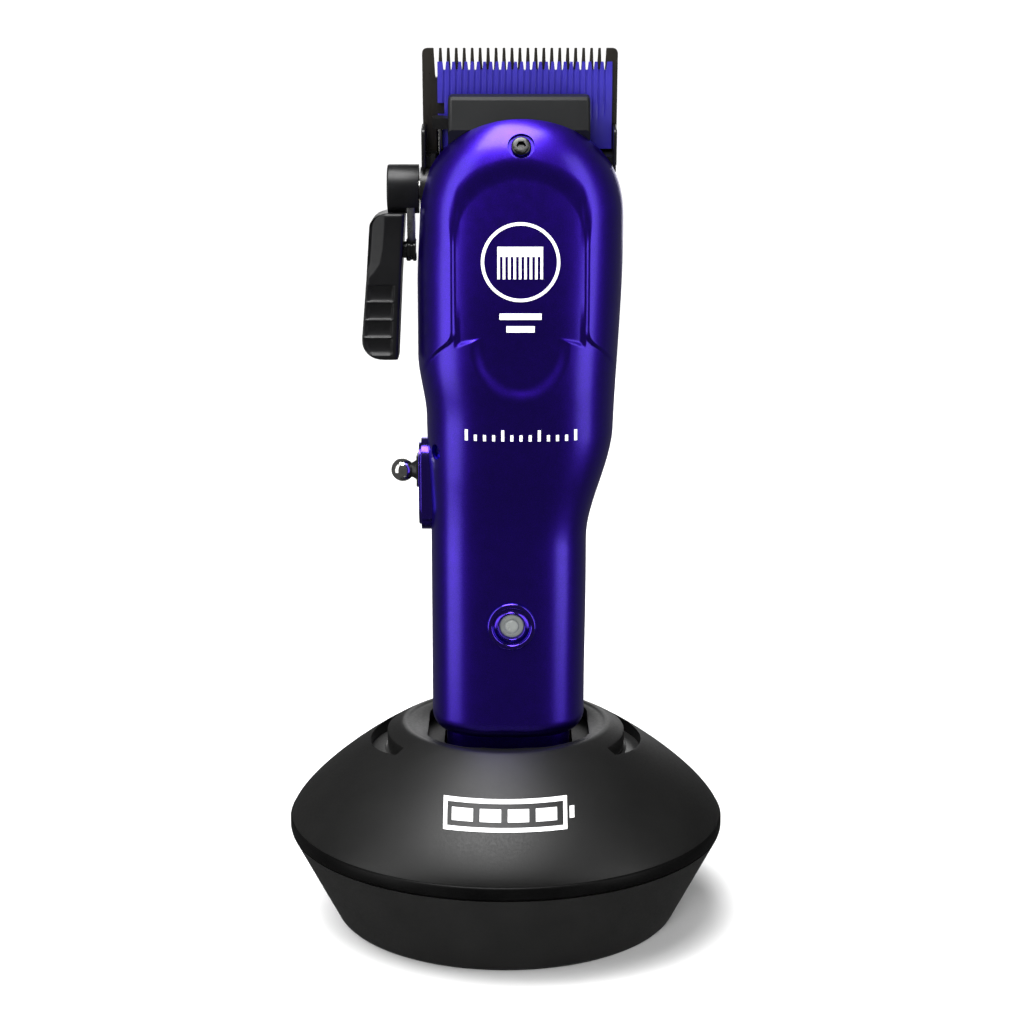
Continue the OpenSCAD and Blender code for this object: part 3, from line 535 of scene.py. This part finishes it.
def socket_screw(name, at, r, head, shank_r, length, material, socket=1.15, seat=0.0):
    """A pan screw with a hexagon socket; local Z leaves the surface and the head starts at seat."""
    profile = [(0, seat - length), (shank_r, seat - length), (shank_r, seat), (r, seat),
               (r, seat + head * 0.55)]
    profile += arc(r - head * 0.45, seat + head * 0.55, head * 0.45, 0, 90, 6) + [(0, seat + head)]
    screw = lathe(name, profile, material, at, 64)
    hexagon = [(socket * math.cos(t), socket * math.sin(t)) for t in turn(6)]
    return cut(screw, prism(name + "_socket", hexagon, seat + head * 0.2, seat + head + 1, material, at, "z"))


def screws():
    head = socket_screw("head_screw_fine", HEAD_SCREW, 2.3, 1.3, 1.4, 6.8, dark_steel, 1.15, -1.2)
    place(head, "clipper", "dark_screw", "head_screw")
    side = socket_screw("side_screw_fine", SIDE_SCREW, 1.8, 0.6, 1.15, 2.6, gloss_paint, 0.8, -0.85)
    place(side, "clipper", "bezel_metal", "side_screw")
    for k, (x, z) in enumerate(REAR_SCREWS):
        rear = socket_screw(f"rear_screw_{k}", rear_screw_frame(x, z), 2.85, 0.9, 1.3, 4, dark_steel)
        place(rear, "clipper", "dark_screw", *(["rear_lid_screws"] if k == 0 else []))


def power_switch():
    outside = box_mm("switch_bezel")[0][0]
    plate = prism("switch_plate", stadium(11.45, 6), -20.6, -16.4, gloss_paint)
    crown = prism("switch_crown", stadium(10.2, 4.8), outside, -20.5, gloss_paint)
    cut(plate, crown, operation="UNION")
    cut(plate, block("switch_slot", (-24, -2.9, 104.7), (-15, 2.9, 117.8), gloss_paint))
    bevel(plate, 0.45, 4)
    place(plate, "clipper", "bezel_metal", "switch_bezel", angle=50)
    key = block("switch_key", (-21.8, -2.5, 109.7), (-15.9, 2.5, 117.3), frame_black)
    base = block("switch_base", (-16.2, -5, 107.5), (-14.2, 5, 119.5), frame_black)
    cut(key, base, operation="UNION")
    stem = [(0, -1), (2.6, -1), (2.5, 0), (1.9, 0.9), (1.55, 1.9), (0, 1.9)]
    neck = lathe("switch_neck", stem, frame_black, along_x(-21.8, 0, 113.5), 48)
    cut(key, neck, operation="UNION")
    bevel(key, 0.25)
    place(key, "switch", "lever_plastic", "switch_slider")
    ball = lathe("switch_knob", arc(0, 0, 2.85, -90, 90, 40), chrome, along_x(-25.2, 0, 113.5), 80)
    place(ball, "switch", "polished_steel", "switch_ball", angle=60)


# ---------- Taper lever ----------
def lever_outline(z):
    """Left and right edge of the paddle at a height."""
    left = np.interp(z, [141.5, 147, 161, 174, 176.6], [-34.5, -34.4, -33.2, -32.3, -32.1])
    right = np.interp(z, [141.5, 161, 176.6], [-25.9, -24.9, -23.9])
    return left, right


RIBS = [147.0, 151.2, 155.5, 159.8]
GRIP_LOW, GRIP_HIGH, GRIP_HALF, GRIP_ROUND = 141.5, 176.7, 6.1, 0.9


def drop(r, over):
    """How far a quarter circle of radius r has fallen once it is over its start."""
    over = min(max(over, 0), r)
    return r - math.sqrt(r * r - over * over)


def grip_section(z):
    """Rounded rectangle of the lever's grip at a height, sampled evenly along its faces."""
    left, right = lever_outline(z)
    left += 1.1 * drop(4.6, GRIP_LOW + 4.6 - z) + 1.4 * drop(3.3, z - GRIP_HIGH + 3.3)
    half = GRIP_HALF - drop(1.0, GRIP_LOW + 1.0 - z) - drop(1.0, z - GRIP_HIGH + 1.0)
    r = GRIP_ROUND
    across = np.linspace(left + r, right - r, 34)[1:-1]
    deep = np.linspace(-half + r, half - r, 9)[1:-1]
    points = arc(left + r, -half + r, r, 180, 270, 5) + [(x, -half) for x in across]
    points += arc(right - r, -half + r, r, 270, 360, 5) + [(right, y) for y in deep]
    points += arc(right - r, half - r, r, 0, 90, 5) + [(x, half) for x in across[::-1]]
    points += arc(left + r, half - r, r, 90, 180, 5) + [(left, y) for y in deep[::-1]]
    return [carve(x, y, z, left, half) for x, y in points]


def carve(x, y, z, left, half):
    """Sinks a point of the grip's front or back face into the scoops and onto the thumb facet."""
    face = float(smooth(abs(y), half - GRIP_ROUND, half - 0.1))
    depth = 0.0
    spans = list(zip([GRIP_LOW + 1.3] + RIBS[:-1], RIBS))
    for low, high in spans:
        if low < z < high:
            t = (z - low) / (high - low)
            depth = 0.85 * math.sin(math.pi * t) ** 0.6 * min(1, min(z - low, high - z) / 0.3)
    margin = np.interp(z, [147, 160], [-27.1, -26.4])
    depth *= float(smooth(margin - x, -0.1, 0.6)) * (0.45 + 0.55 * float(smooth(x - left, 0.2, 1.6)))
    ridge = np.interp(z, [160.4, 161.4, 162.4, 164.8, 168.1, 175.6], [-34, -32.6, -31.4, -29.8, -29.1, -28.5])
    if z > RIBS[-1] and x < ridge:
        depth += 0.42 * (ridge - x)
    return (float(x), float(y - math.copysign(min(depth * face, abs(y)), y)), float(z))


def paddle():
    """The lever's grip, with thin ribs, scoops between them and a thumb facet."""
    heights = np.concatenate([GRIP_LOW + 4.6 * (1 - np.cos(np.linspace(0, math.pi / 2, 16)[:-1])),
                              np.arange(146.1, 161.6, 0.13), np.linspace(161.6, 173.4, 40),
                              GRIP_HIGH - 3.3 * (1 - np.sin(np.linspace(0, math.pi / 2, 14)[1:]))])
    rows = [grip_section(z) for z in heights]
    steps = len(rows[0])
    faces = []
    for i in range(len(rows) - 1):
        for j in range(steps):
            k = (j + 1) % steps
            faces.append((i * steps + j, i * steps + k, (i + 1) * steps + k, (i + 1) * steps + j))
    faces += [tuple(range(steps)), tuple((len(rows) - 1) * steps + j for j in range(steps))[::-1]]
    piece = add_piece("lever_grip", [p for r in rows for p in r], faces, lever_black)
    place(piece, "lever", "lever_plastic", "lever_paddle", angle=28)


def lever():
    hub = [(0, 0), (5.35, 0)] + arc(5.32, 0.5, 0.5, -90, 0, 4) + [(5.825, 7.5), (0, 7.5)]
    hub_piece = lathe("lever_boss", hub, lever_black, turned_to((-28.1, 0, LEVER_Z), (1, 0, 0)), 96)
    cut(hub_piece, prism("boss_slot", rounded(-4.05, 4.05, 170, 186.05, 4), -23.42, -21.58, lever_black))
    bevel(hub_piece, 0.12, 2)
    place(hub_piece, "lever", "lever_plastic", "lever_hub")
    plate = prism("lever_strip", rounded(-4, 4, 169, 186, 3.99, 16), -23.4, -21.6, steel)
    bevel(plate, 0.15, 2)
    place(plate, "lever", "plain_steel", "lever_plate")
    post = [(0, 0), (2, 0), (2, 1.65), (2.55, 1.65)] + arc(2.55, 1.95, 0.2, -90, 0, 3)
    post += [(2.75, 2.5), (2.45, 2.75), (2.45, 3.1), (2.75, 3.35), (2.75, 3.85), (2.55, 4.05), (0, 4.05)]
    stud = lathe("lever_stud", post, gloss_black, turned_to((-25.4, 0, 167.5), (1, 0, 0)), 64)
    place(stud, "lever", "lever_plastic", "lever_post")
    paddle()


# ---------- Blades ----------
def gaps(name, spots, tip_w, root_w, root, top, back, front):
    """Slots between teeth, seen along the blade's thickness, with round roots, as one cutter."""
    outlines = [arc(at, root, root_w / 2, 180, 360, 8) + [(at + tip_w / 2, top), (at - tip_w / 2, top)]
                for at in spots]
    return prisms(name, outlines, back, front, blade_black, BLADE_AT, "y")


def fixed_blade():
    x0, width, teeth, prong = -19.6, 46.1, 21, 2.45
    pitch = (width - 2 * prong) / (teeth + 1)
    profile = [(0, 0), (3, 0), (3, 12), (1.7, 22.7), (0.75, 29.4), (0.45, 29.75), (0, 29.75)]
    fixed = prism("fixed_blade_fine", profile, x0, x0 + width, blade_black, BLADE_AT)
    spots = [x0 + prong + pitch * (k + 0.5) for k in range(teeth + 1)]
    cut(fixed, gaps("fixed_gaps", spots, pitch - 0.5, pitch - 1.2, 23, 31, -1, 4))
    for side, x in ((-1, x0), (1, x0 + width)):
        corner = [(x + side, 28.4), (x + side, 31), (x - side * 1.3, 31), (x - side * 1.3, 29.75)]
        corner += [(x - side * 1.3 + side * 1.3 * math.sin(a), 28.45 + 1.3 * math.cos(a))
                   for a in np.linspace(0.1, math.pi / 2, 7)]
        cut(fixed, prism(f"prong_round_{side}", corner, -1, 4, blade_black, BLADE_AT, "y"))
    for x in (-10.3, 18.6):
        hole = [(0, -2), (1.6, -2), (1.6, 1.5), (3.1, 1.5), (3.1, 6), (0, 6)]
        at = BLADE_AT @ turned_to((x, 0, 3.2), (0, 1, 0))
        cut(fixed, lathe(f"fixed_hole_{x}", hole, blade_black, at, 48))
    bevel(fixed, 0.12, 2, 40)
    place(fixed, "clipper", "blade_black", "fixed_blade")


def moving_blade():
    """The cutter: a ground face with a shallow groove under every gap."""
    x0, width, teeth = -16.0, 41.2, 28
    pitch = width / (teeth + 0.25)
    spots = [x0 + pitch * (k + 0.125) for k in range(1, teeth)]
    columns = sorted({x0, x0 + width} | {at + d for at in spots for d in (-0.36, -0.3, -0.1, 0.1, 0.3, 0.36)})
    rows = [6.2, 13.4, 17.2, 17.5, 19.6, 22, 24, 26.6]
    face = {6.2: -2.02, 13.4: -2.02, 17.2: -2.02, 17.5: -2.0, 19.6: -1.96, 22: -1.55, 24: -1.1, 26.6: -0.55}

    def groove(x, z):
        near = min(abs(x - at) for at in spots)
        return 0.3 * float(smooth(0.36 - near, 0, 0.28)) if z > 13.5 else 0.0

    front = [(x + 0.02 * (z - 26), face[z] + groove(x, z), z) if 0 < i < len(columns) - 1 else (x, face[z], z)
             for z in rows for i, x in enumerate(columns)]
    back = [(x, -0.1, z) for z in rows for x in columns]
    width_n, total = len(columns), len(front)
    quads = [(i * width_n + j, i * width_n + j + 1, (i + 1) * width_n + j + 1, (i + 1) * width_n + j)
             for i in range(len(rows) - 1) for j in range(width_n - 1)]
    faces = quads + [tuple(total + v for v in q[::-1]) for q in quads]
    edges = [(j, j + 1) for j in range(width_n - 1)]
    edges += [((len(rows) - 1) * width_n + j + 1, (len(rows) - 1) * width_n + j) for j in range(width_n - 1)]
    edges += [((i + 1) * width_n, i * width_n) for i in range(len(rows) - 1)]
    edges += [(i * width_n + width_n - 1, (i + 1) * width_n + width_n - 1) for i in range(len(rows) - 1)]
    faces += [(a, a + total, b + total, b) for a, b in edges]
    moving = add_piece("moving_blade_fine", front + back, faces, blade_violet, BLADE_AT)
    cut(moving, gaps("moving_gaps", spots, pitch - 0.34, pitch - 1.0, 24.9, 28, -3, 1))
    sides = [block("notch_left", (x0 - 1, -3, 14.2), (x0 + 1.6, 1, 17.2), blade_violet, BLADE_AT),
             block("notch_right", (x0 + width - 2.6, -3, 14.2), (x0 + width + 1, 1, 17.2),
                   blade_violet, BLADE_AT)]
    cut(moving, *sides)
    place(moving, "cutter", "blade_violet", "moving_blade", angle=20)


def blade_cover():
    x0, x1 = -13.4, 19.9
    profile = [(-2.5, 5.32), (-2.5, 19.6), (-7.6, 19.9), (-8.6, 19.3), (-12.4, 11.5), (-14, 5.32)]
    cover = prism("cover_fine", profile, x0, x1, cover_grey, BLADE_AT)
    bevel(cover, 1.0, 5)
    away = prism("cover_end", [(0.05, CUT_Z), (200, CUT_Z - 200 * CUT_SLOPE), (-100, CUT_Z - 200 * CUT_SLOPE),
                               (-100, CUT_Z + 100.05 * CUT_SLOPE)], -60, 60, cover_grey)
    cut(cover, away)
    tongue = [(-6.15, 7.2), (-6.15, 14), (-11, 14), (-12.4, 11.5), (-16.2, 8.6), (-16.2, 6.2), (-13, 6.2)]
    cut(cover, prism("cover_tongue", tongue, MID_X - 7, MID_X + 7, cover_grey, BLADE_AT), operation="UNION")
    cut(cover, block("cover_room", (-12, -8.4, 4), (18.4, -2, 17.4), cover_grey, BLADE_AT))
    cut(cover, block("cover_rod_room", (-14, -6.3, 10.5), (-11, -1.9, 17.3), cover_grey, BLADE_AT))
    hole = lathe("cover_screw_way", [(0, -12), (1.42, -12), (1.42, 8), (0, 8)], cover_grey, HEAD_SCREW, 48)
    cut(cover, hole)
    place(cover, "clipper", "cover_plastic", "blade_cover", angle=30)


def blade_guards():
    """The two plates beside the blades, with rounded corners."""
    for name, x, low in (("guard_left", (-19.8, -18.85), 2.3), ("guard_right", (25.5, 26.3), 3.2)):
        plate = prism(name, rounded(-7.6, -0.02, low, 12, 1.2), x[0], x[1], frame_black, BLADE_AT)
        bevel(plate, 0.25, 3)
        place(plate, "clipper", "frame_plastic", *(["blade_guards"] if name == "guard_left" else []))


# ---------- Dock ----------
WIDE_R, CONE_H, RING_H = 54.2, 22.6, 3.5
COLLAR_R, COLLAR_Z = 25.7, 49.3
DOME_Z = CONE_H + RING_H


def dome_r(z):
    t = (z - DOME_Z) / (COLLAR_Z - DOME_Z)
    return COLLAR_R + (WIDE_R - 0.2 - COLLAR_R) * max(0.0, 1 - t ** 1.3) ** 0.909


SLOT_IN, SLOT_LOW = 29.7, 42.6            # inner radius and floor of a crescent slot
SLOT_ARC_AT, SLOT_ARC_R = 9.2, 24.8      # the arc that bounds it outside


def ring_slot(side):
    """Cutter of a crescent slot beside the collar."""
    steps = 40
    half = math.radians(33)
    points = []
    for k in range(steps + 1):
        t = half * (2 * k / steps - 1)
        far = SLOT_ARC_AT * math.cos(t) + math.sqrt(SLOT_ARC_R ** 2 - (SLOT_ARC_AT * math.sin(t)) ** 2)
        low = SLOT_LOW - 0.26 * (far - SLOT_IN)
        section = [(SLOT_IN, SLOT_LOW), (far, low), (far, 52), (SLOT_IN, 52)]
        points += [(side * r * math.cos(t), side * r * math.sin(t), z) for r, z in section]
    faces = [(0, 1, 2, 3), tuple(4 * steps + i for i in (3, 2, 1, 0))]
    for k in range(steps):
        for i in range(4):
            j = (i + 1) % 4
            faces.append((4 * k + i, 4 * k + j, 4 * k + 4 + j, 4 * k + 4 + i))
    return add_piece(f"ring_slot_{side}", points, faces, dock_black)


def slot_floor(side):
    """The step below a crescent slot."""
    points, faces = [], []
    steps = 48
    section = [(28.2, 40.4), (36.0, 38.45), (36.0, 40.5), (34.4, 41.65), (30.4, 42.65), (30.2, 42.5),
               (28.2, 42.4)]
    count = len(section)
    for k in range(steps + 1):
        t = math.radians(37) * (2 * k / steps - 1)
        points += [(side * r * math.cos(t), side * r * math.sin(t), z) for r, z in section]
    faces = [tuple(range(count)), tuple(steps * count + i for i in reversed(range(count)))]
    for k in range(steps):
        for i in range(count):
            j = (i + 1) % count
            faces.append((count * k + i, count * k + j, count * k + count + j, count * k + count + i))
    return add_piece(f"slot_floor_{'right' if side > 0 else 'left'}", points, faces, step_black)


def dock():
    heights = [DOME_Z + (COLLAR_Z - DOME_Z) * (1 - (1 - k / 40) ** 1.6) for k in range(39)]
    rim = [(COLLAR_R + 0.2, COLLAR_Z - 0.12), (COLLAR_R - 0.35, COLLAR_Z)]
    rim += [(COLLAR_R - 0.9, COLLAR_Z - 0.12)]
    dish = [(x, COLLAR_Z - 0.25 - 1.55 * smooth(COLLAR_R - 1.1 - x, 0, 6.5))
            for x in np.linspace(24.6, 17.7, 12)]
    outer = [(dome_r(z), z) for z in heights] + rim + [(float(x), float(z)) for x, z in dish]
    inner = [(17.7, 45.1)] + [(max(17.7, dome_r(z) - 2.2), max(DOME_Z, z - 2.4)) for z in heights[::-1]]
    shell = lathe("dock_dome", outer + inner, dock_black, None, 192)
    cut(shell, ring_slot(1), ring_slot(-1))
    low, high = box_mm("dock_well")
    well = rounded(low[0] - 0.02, high[0] + 0.02, low[1] - 0.02, high[1] + 0.02, 9, 12)
    cut(shell, prism("well_way", well, 20, 60, dock_black, axis="z"))
    bevel(shell, 0.3, 3, 50)
    place(shell, "dock", "dock_plastic", "dock_shell", angle=30)
    for side in (1, -1):
        place(slot_floor(side), "dock", "dock_plastic", angle=40)

    ring = [(WIDE_R - 2.2, CONE_H), (WIDE_R - 0.45, CONE_H), (WIDE_R + 0.12, CONE_H + 0.5),
            (WIDE_R + 0.2, CONE_H + 0.8), (WIDE_R + 0.2, DOME_Z - 0.6), (WIDE_R + 0.1, DOME_Z - 0.3),
            (WIDE_R - 0.3, DOME_Z), (WIDE_R - 2.2, DOME_Z)]
    place(lathe("dock_band", ring, ring_black, None, 192), "dock", "trim_plastic", "dock_trim_ring", angle=50)


# ---------- Printed marks: generic shapes, no lettering ----------
def strip_faces(count, closed):
    """Quads between two rows of count points, one after the other."""
    pairs = [(i, (i + 1) % count) for i in range(count if closed else count - 1)]
    return [(i, j, count + j, count + i) for i, j in pairs]


def joined(*parts):
    """Several (points, faces) drawings as one."""
    points, faces = [], []
    for more_points, more_faces in parts:
        faces += [tuple(len(points) + i for i in face) for face in more_faces]
        points += more_points
    return points, faces


def print_mark(name, body, where, points, faces):
    """A thin printed shape; where() lays a drawing's point on the surface."""
    piece = add_piece(name, [where(a, b) for a, b in points], faces, print_white)
    modifier = piece.modifiers.new("thick", "SOLIDIFY")
    modifier.thickness = 0.06 * MM
    modifier.offset = 0
    apply_modifiers(piece)
    place(piece, body, "nylon", angle=60)


def on_lid(x, z):
    return (x, float(lid_y(np.float64(x), np.float64(z))) - MARK_LIFT, z)


def on_dome(x, z):
    return (x, -math.sqrt((dome_r(z) + MARK_LIFT) ** 2 - x * x), z + MARK_LIFT * 0.6)


def ring_mark(cx, cz, r, w, steps=96):
    inner = [(cx + (r - w) * math.cos(t), cz + (r - w) * math.sin(t)) for t in turn(steps)]
    outer = [(cx + r * math.cos(t), cz + r * math.sin(t)) for t in turn(steps)]
    return inner + outer, strip_faces(steps, True)


def bar_mark(x0, x1, z0, z1, across=12, up=1):
    """A rectangle as a grid, so that it bends with the surface."""
    points = [(x0 + (x1 - x0) * i / across, z0 + (z1 - z0) * k / up)
              for k in range(up + 1) for i in range(across + 1)]
    n = across + 1
    return points, [(k * n + i, k * n + i + 1, (k + 1) * n + i + 1, (k + 1) * n + i)
                    for k in range(up) for i in range(across)]


MARK_LIFT = 0.09


def marks():
    """Generic signs: a comb in a ring, two bars, a taper scale and a battery level."""
    cx, cz = 3.57, 166.8
    print_mark("mark_ring", "clipper", on_lid, *ring_mark(cx, cz, 9.2, 0.75))
    teeth = [bar_mark(cx - 5.4 + 1.25 * k, cx - 4.8 + 1.25 * k, cz - 3.9, cz + 1.3, 2, 8) for k in range(9)]
    spine = bar_mark(cx - 5.4, cx + 5.2, cz + 1.3, cz + 3.6, 16, 3)
    print_mark("mark_comb", "clipper", on_lid, *joined(spine, *teeth))
    print_mark("mark_bars", "clipper", on_lid, *joined(bar_mark(cx - 4.9, cx + 4.9, 153.4, 154.9, 12, 2),
                                                       bar_mark(cx - 3.3, cx + 3.3, 150.4, 151.9, 8, 2)))
    scale = [bar_mark(-9.6 + 2.16 * k, -8.9 + 2.16 * k, 124.2, 126.9 if k % 4 == 0 else 125.7, 2, 4)
             for k in range(13)]
    print_mark("mark_scale", "clipper", on_lid, *joined(*scale))
    low, high, wide = 36.2, 41.8, 14.6
    shell = [bar_mark(-wide, wide, high - 0.8, high, 24), bar_mark(-wide, wide, low, low + 0.75, 24),
             bar_mark(-wide, 0.9 - wide, low + 0.75, high - 0.8, 2, 8),
             bar_mark(wide - 0.9, wide, low + 0.75, high - 0.8, 2, 8),
             bar_mark(wide + 0.6, wide + 1.7, low + 1.8, high - 1.8, 2, 4)]
    levels = [bar_mark(-12.6 + 6.6 * k, -7.6 + 6.6 * k, low + 1.7, high - 1.7, 6, 4) for k in range(4)]
    print_mark("mark_battery", "dock", on_dome, *joined(*shell, *levels))


# ---------- Camera, lights and floor ----------
def studio():
    camera = bpy.data.objects.new("camera", bpy.data.cameras.new("camera"))
    scene.collection.objects.link(camera)
    camera.data.sensor_width = 36
    camera.data.lens = 80.86
    camera.data.clip_start = 0.01
    camera.data.clip_end = 200
    distance, pitch, aim_z = 567.0, math.radians(12.9), 102.8
    camera.location = Vector((1.58, -distance * math.cos(pitch), aim_z + distance * math.sin(pitch))) * MM
    camera.rotation_euler = (math.pi / 2 - pitch, 0, 0)
    scene.camera = camera

    floor_mesh = bpy.data.meshes.new("floor")
    reach = 60
    corners = [(-reach, -reach, 0), (reach, -reach, 0), (reach, reach, 0), (-reach, reach, 0)]
    floor_mesh.from_pydata(corners, [], [(0, 1, 2, 3)])
    floor = bpy.data.objects.new("floor", floor_mesh)
    scene.collection.objects.link(floor)
    pale = Nodes("pale_floor", Roughness=0.8)
    pale.colours(pale.noise(2, 2), (0.90, 0.90, 0.90), (0.92, 0.92, 0.92))
    pale.shader.inputs["Specular IOR Level"].default_value = 0.1
    floor_mesh.materials.append(pale.material)
    floor.visible_glossy = False

    world = bpy.data.worlds.new("studio")
    scene.world = world
    world.use_nodes = True
    tree = world.node_tree
    room = tree.nodes["Background"]
    room.inputs["Color"].default_value = (1, 1, 1, 1)
    room.inputs["Strength"].default_value = 0.08
    backdrop = tree.nodes.new("ShaderNodeBackground")
    backdrop.inputs["Strength"].default_value = 1.0
    path = tree.nodes.new("ShaderNodeLightPath")
    mix = tree.nodes.new("ShaderNodeMixShader")
    tree.links.new(path.outputs["Is Camera Ray"], mix.inputs["Fac"])
    tree.links.new(room.outputs["Background"], mix.inputs[1])
    tree.links.new(backdrop.outputs["Background"], mix.inputs[2])
    tree.links.new(mix.outputs["Shader"], tree.nodes["World Output"].inputs["Surface"])

    distant("sky_light", (math.radians(-9), math.radians(-22), 0), 3.1, 55)
    distant("front_light", (math.radians(72), 0, math.radians(-12)), 2.6, 30)

    softbox("right_box", 57, 0.56, 0.30, (0.26, 0.80), 1.2)
    softbox("left_box", -62, 0.52, 0.30, (0.30, 0.80), 1.4)
    softbox("back_box", 175, 0.85, 0.32, (0.5, 0.5), 1.2)
    top = softbox("top_box", -30, 0.17, 0.70, (0.44, 0.40), 5.2)
    aim(top, (0, 0, 0.12))


def distant(name, turned, strength, angle):
    """A broad distant light that adds no highlight of its own."""
    sun = bpy.data.objects.new(name, bpy.data.lights.new(name, "SUN"))
    sun.data.energy = strength
    sun.data.angle = math.radians(angle)
    sun.rotation_euler = turned
    sun.visible_glossy = False
    scene.collection.objects.link(sun)


def softbox(name, azimuth, distance, height, size, power):
    """An area light round the object; azimuth 0 is the camera's side and grows towards +X."""
    light = bpy.data.lights.new(name, "AREA")
    light.shape = "RECTANGLE"
    light.size, light.size_y = size
    light.energy = power
    lamp = bpy.data.objects.new(name, light)
    a = math.radians(azimuth)
    lamp.location = (distance * math.sin(a), -distance * math.cos(a), height)
    scene.collection.objects.link(lamp)
    lamp.visible_camera = False
    aim(lamp, (0, 0, height))
    return lamp


def aim(lamp, target):
    away = lamp.location - Vector(target)
    lamp.rotation_mode = "QUATERNION"
    lamp.rotation_quaternion = away.to_track_quat("Z", "Y")


# ---------- Materials of the CAD nodes that stay ----------
CAD_LOOKS = {
    # dock_base takes the cone's lighter black, which carries painted bounce light.
    "dock_base": cone_black_painted_light, "dock_well": ring_black, "dock_feet": rubber, "dock_ballast": dark_steel,
    "dock_board": board_green, "dock_socket": steel, "dock_screws": steel, "contact_sleeves": gold,
    "left_contact_pin": gold, "right_contact_pin": gold, "tail_cap": paint, "charge_pads": gold,
    "head_frame": frame_black, "inner_frame": frame_black, "battery_cell": cell_wrap, "battery_tabs": steel,
    "circuit_board": board_green, "board_parts": gloss_black, "motor_can": steel,
    "motor_end_cap": frame_black, "motor_screws": steel, "lever_bush": gold,
    "blade_cover": cover_grey, "blade_screws": dark_steel, "blade_guards": frame_black,
    "rotor_shaft": steel, "eccentric_cam": steel, "blade_carriage": frame_black, "link_rod": chrome,
    "tension_spring": steel, "cam_follower": acetal, "follower_screws": steel, "lever_shaft": steel,
}


def dress_cad():
    for name, material in CAD_LOOKS.items():
        for slot in nodes[name].material_slots:
            slot.material = material


studio()
body_shells()
charge_light()
screws()
power_switch()
lever()
fixed_blade()
moving_blade()
blade_cover()
blade_guards()
dock()
marks()
dress_cad()
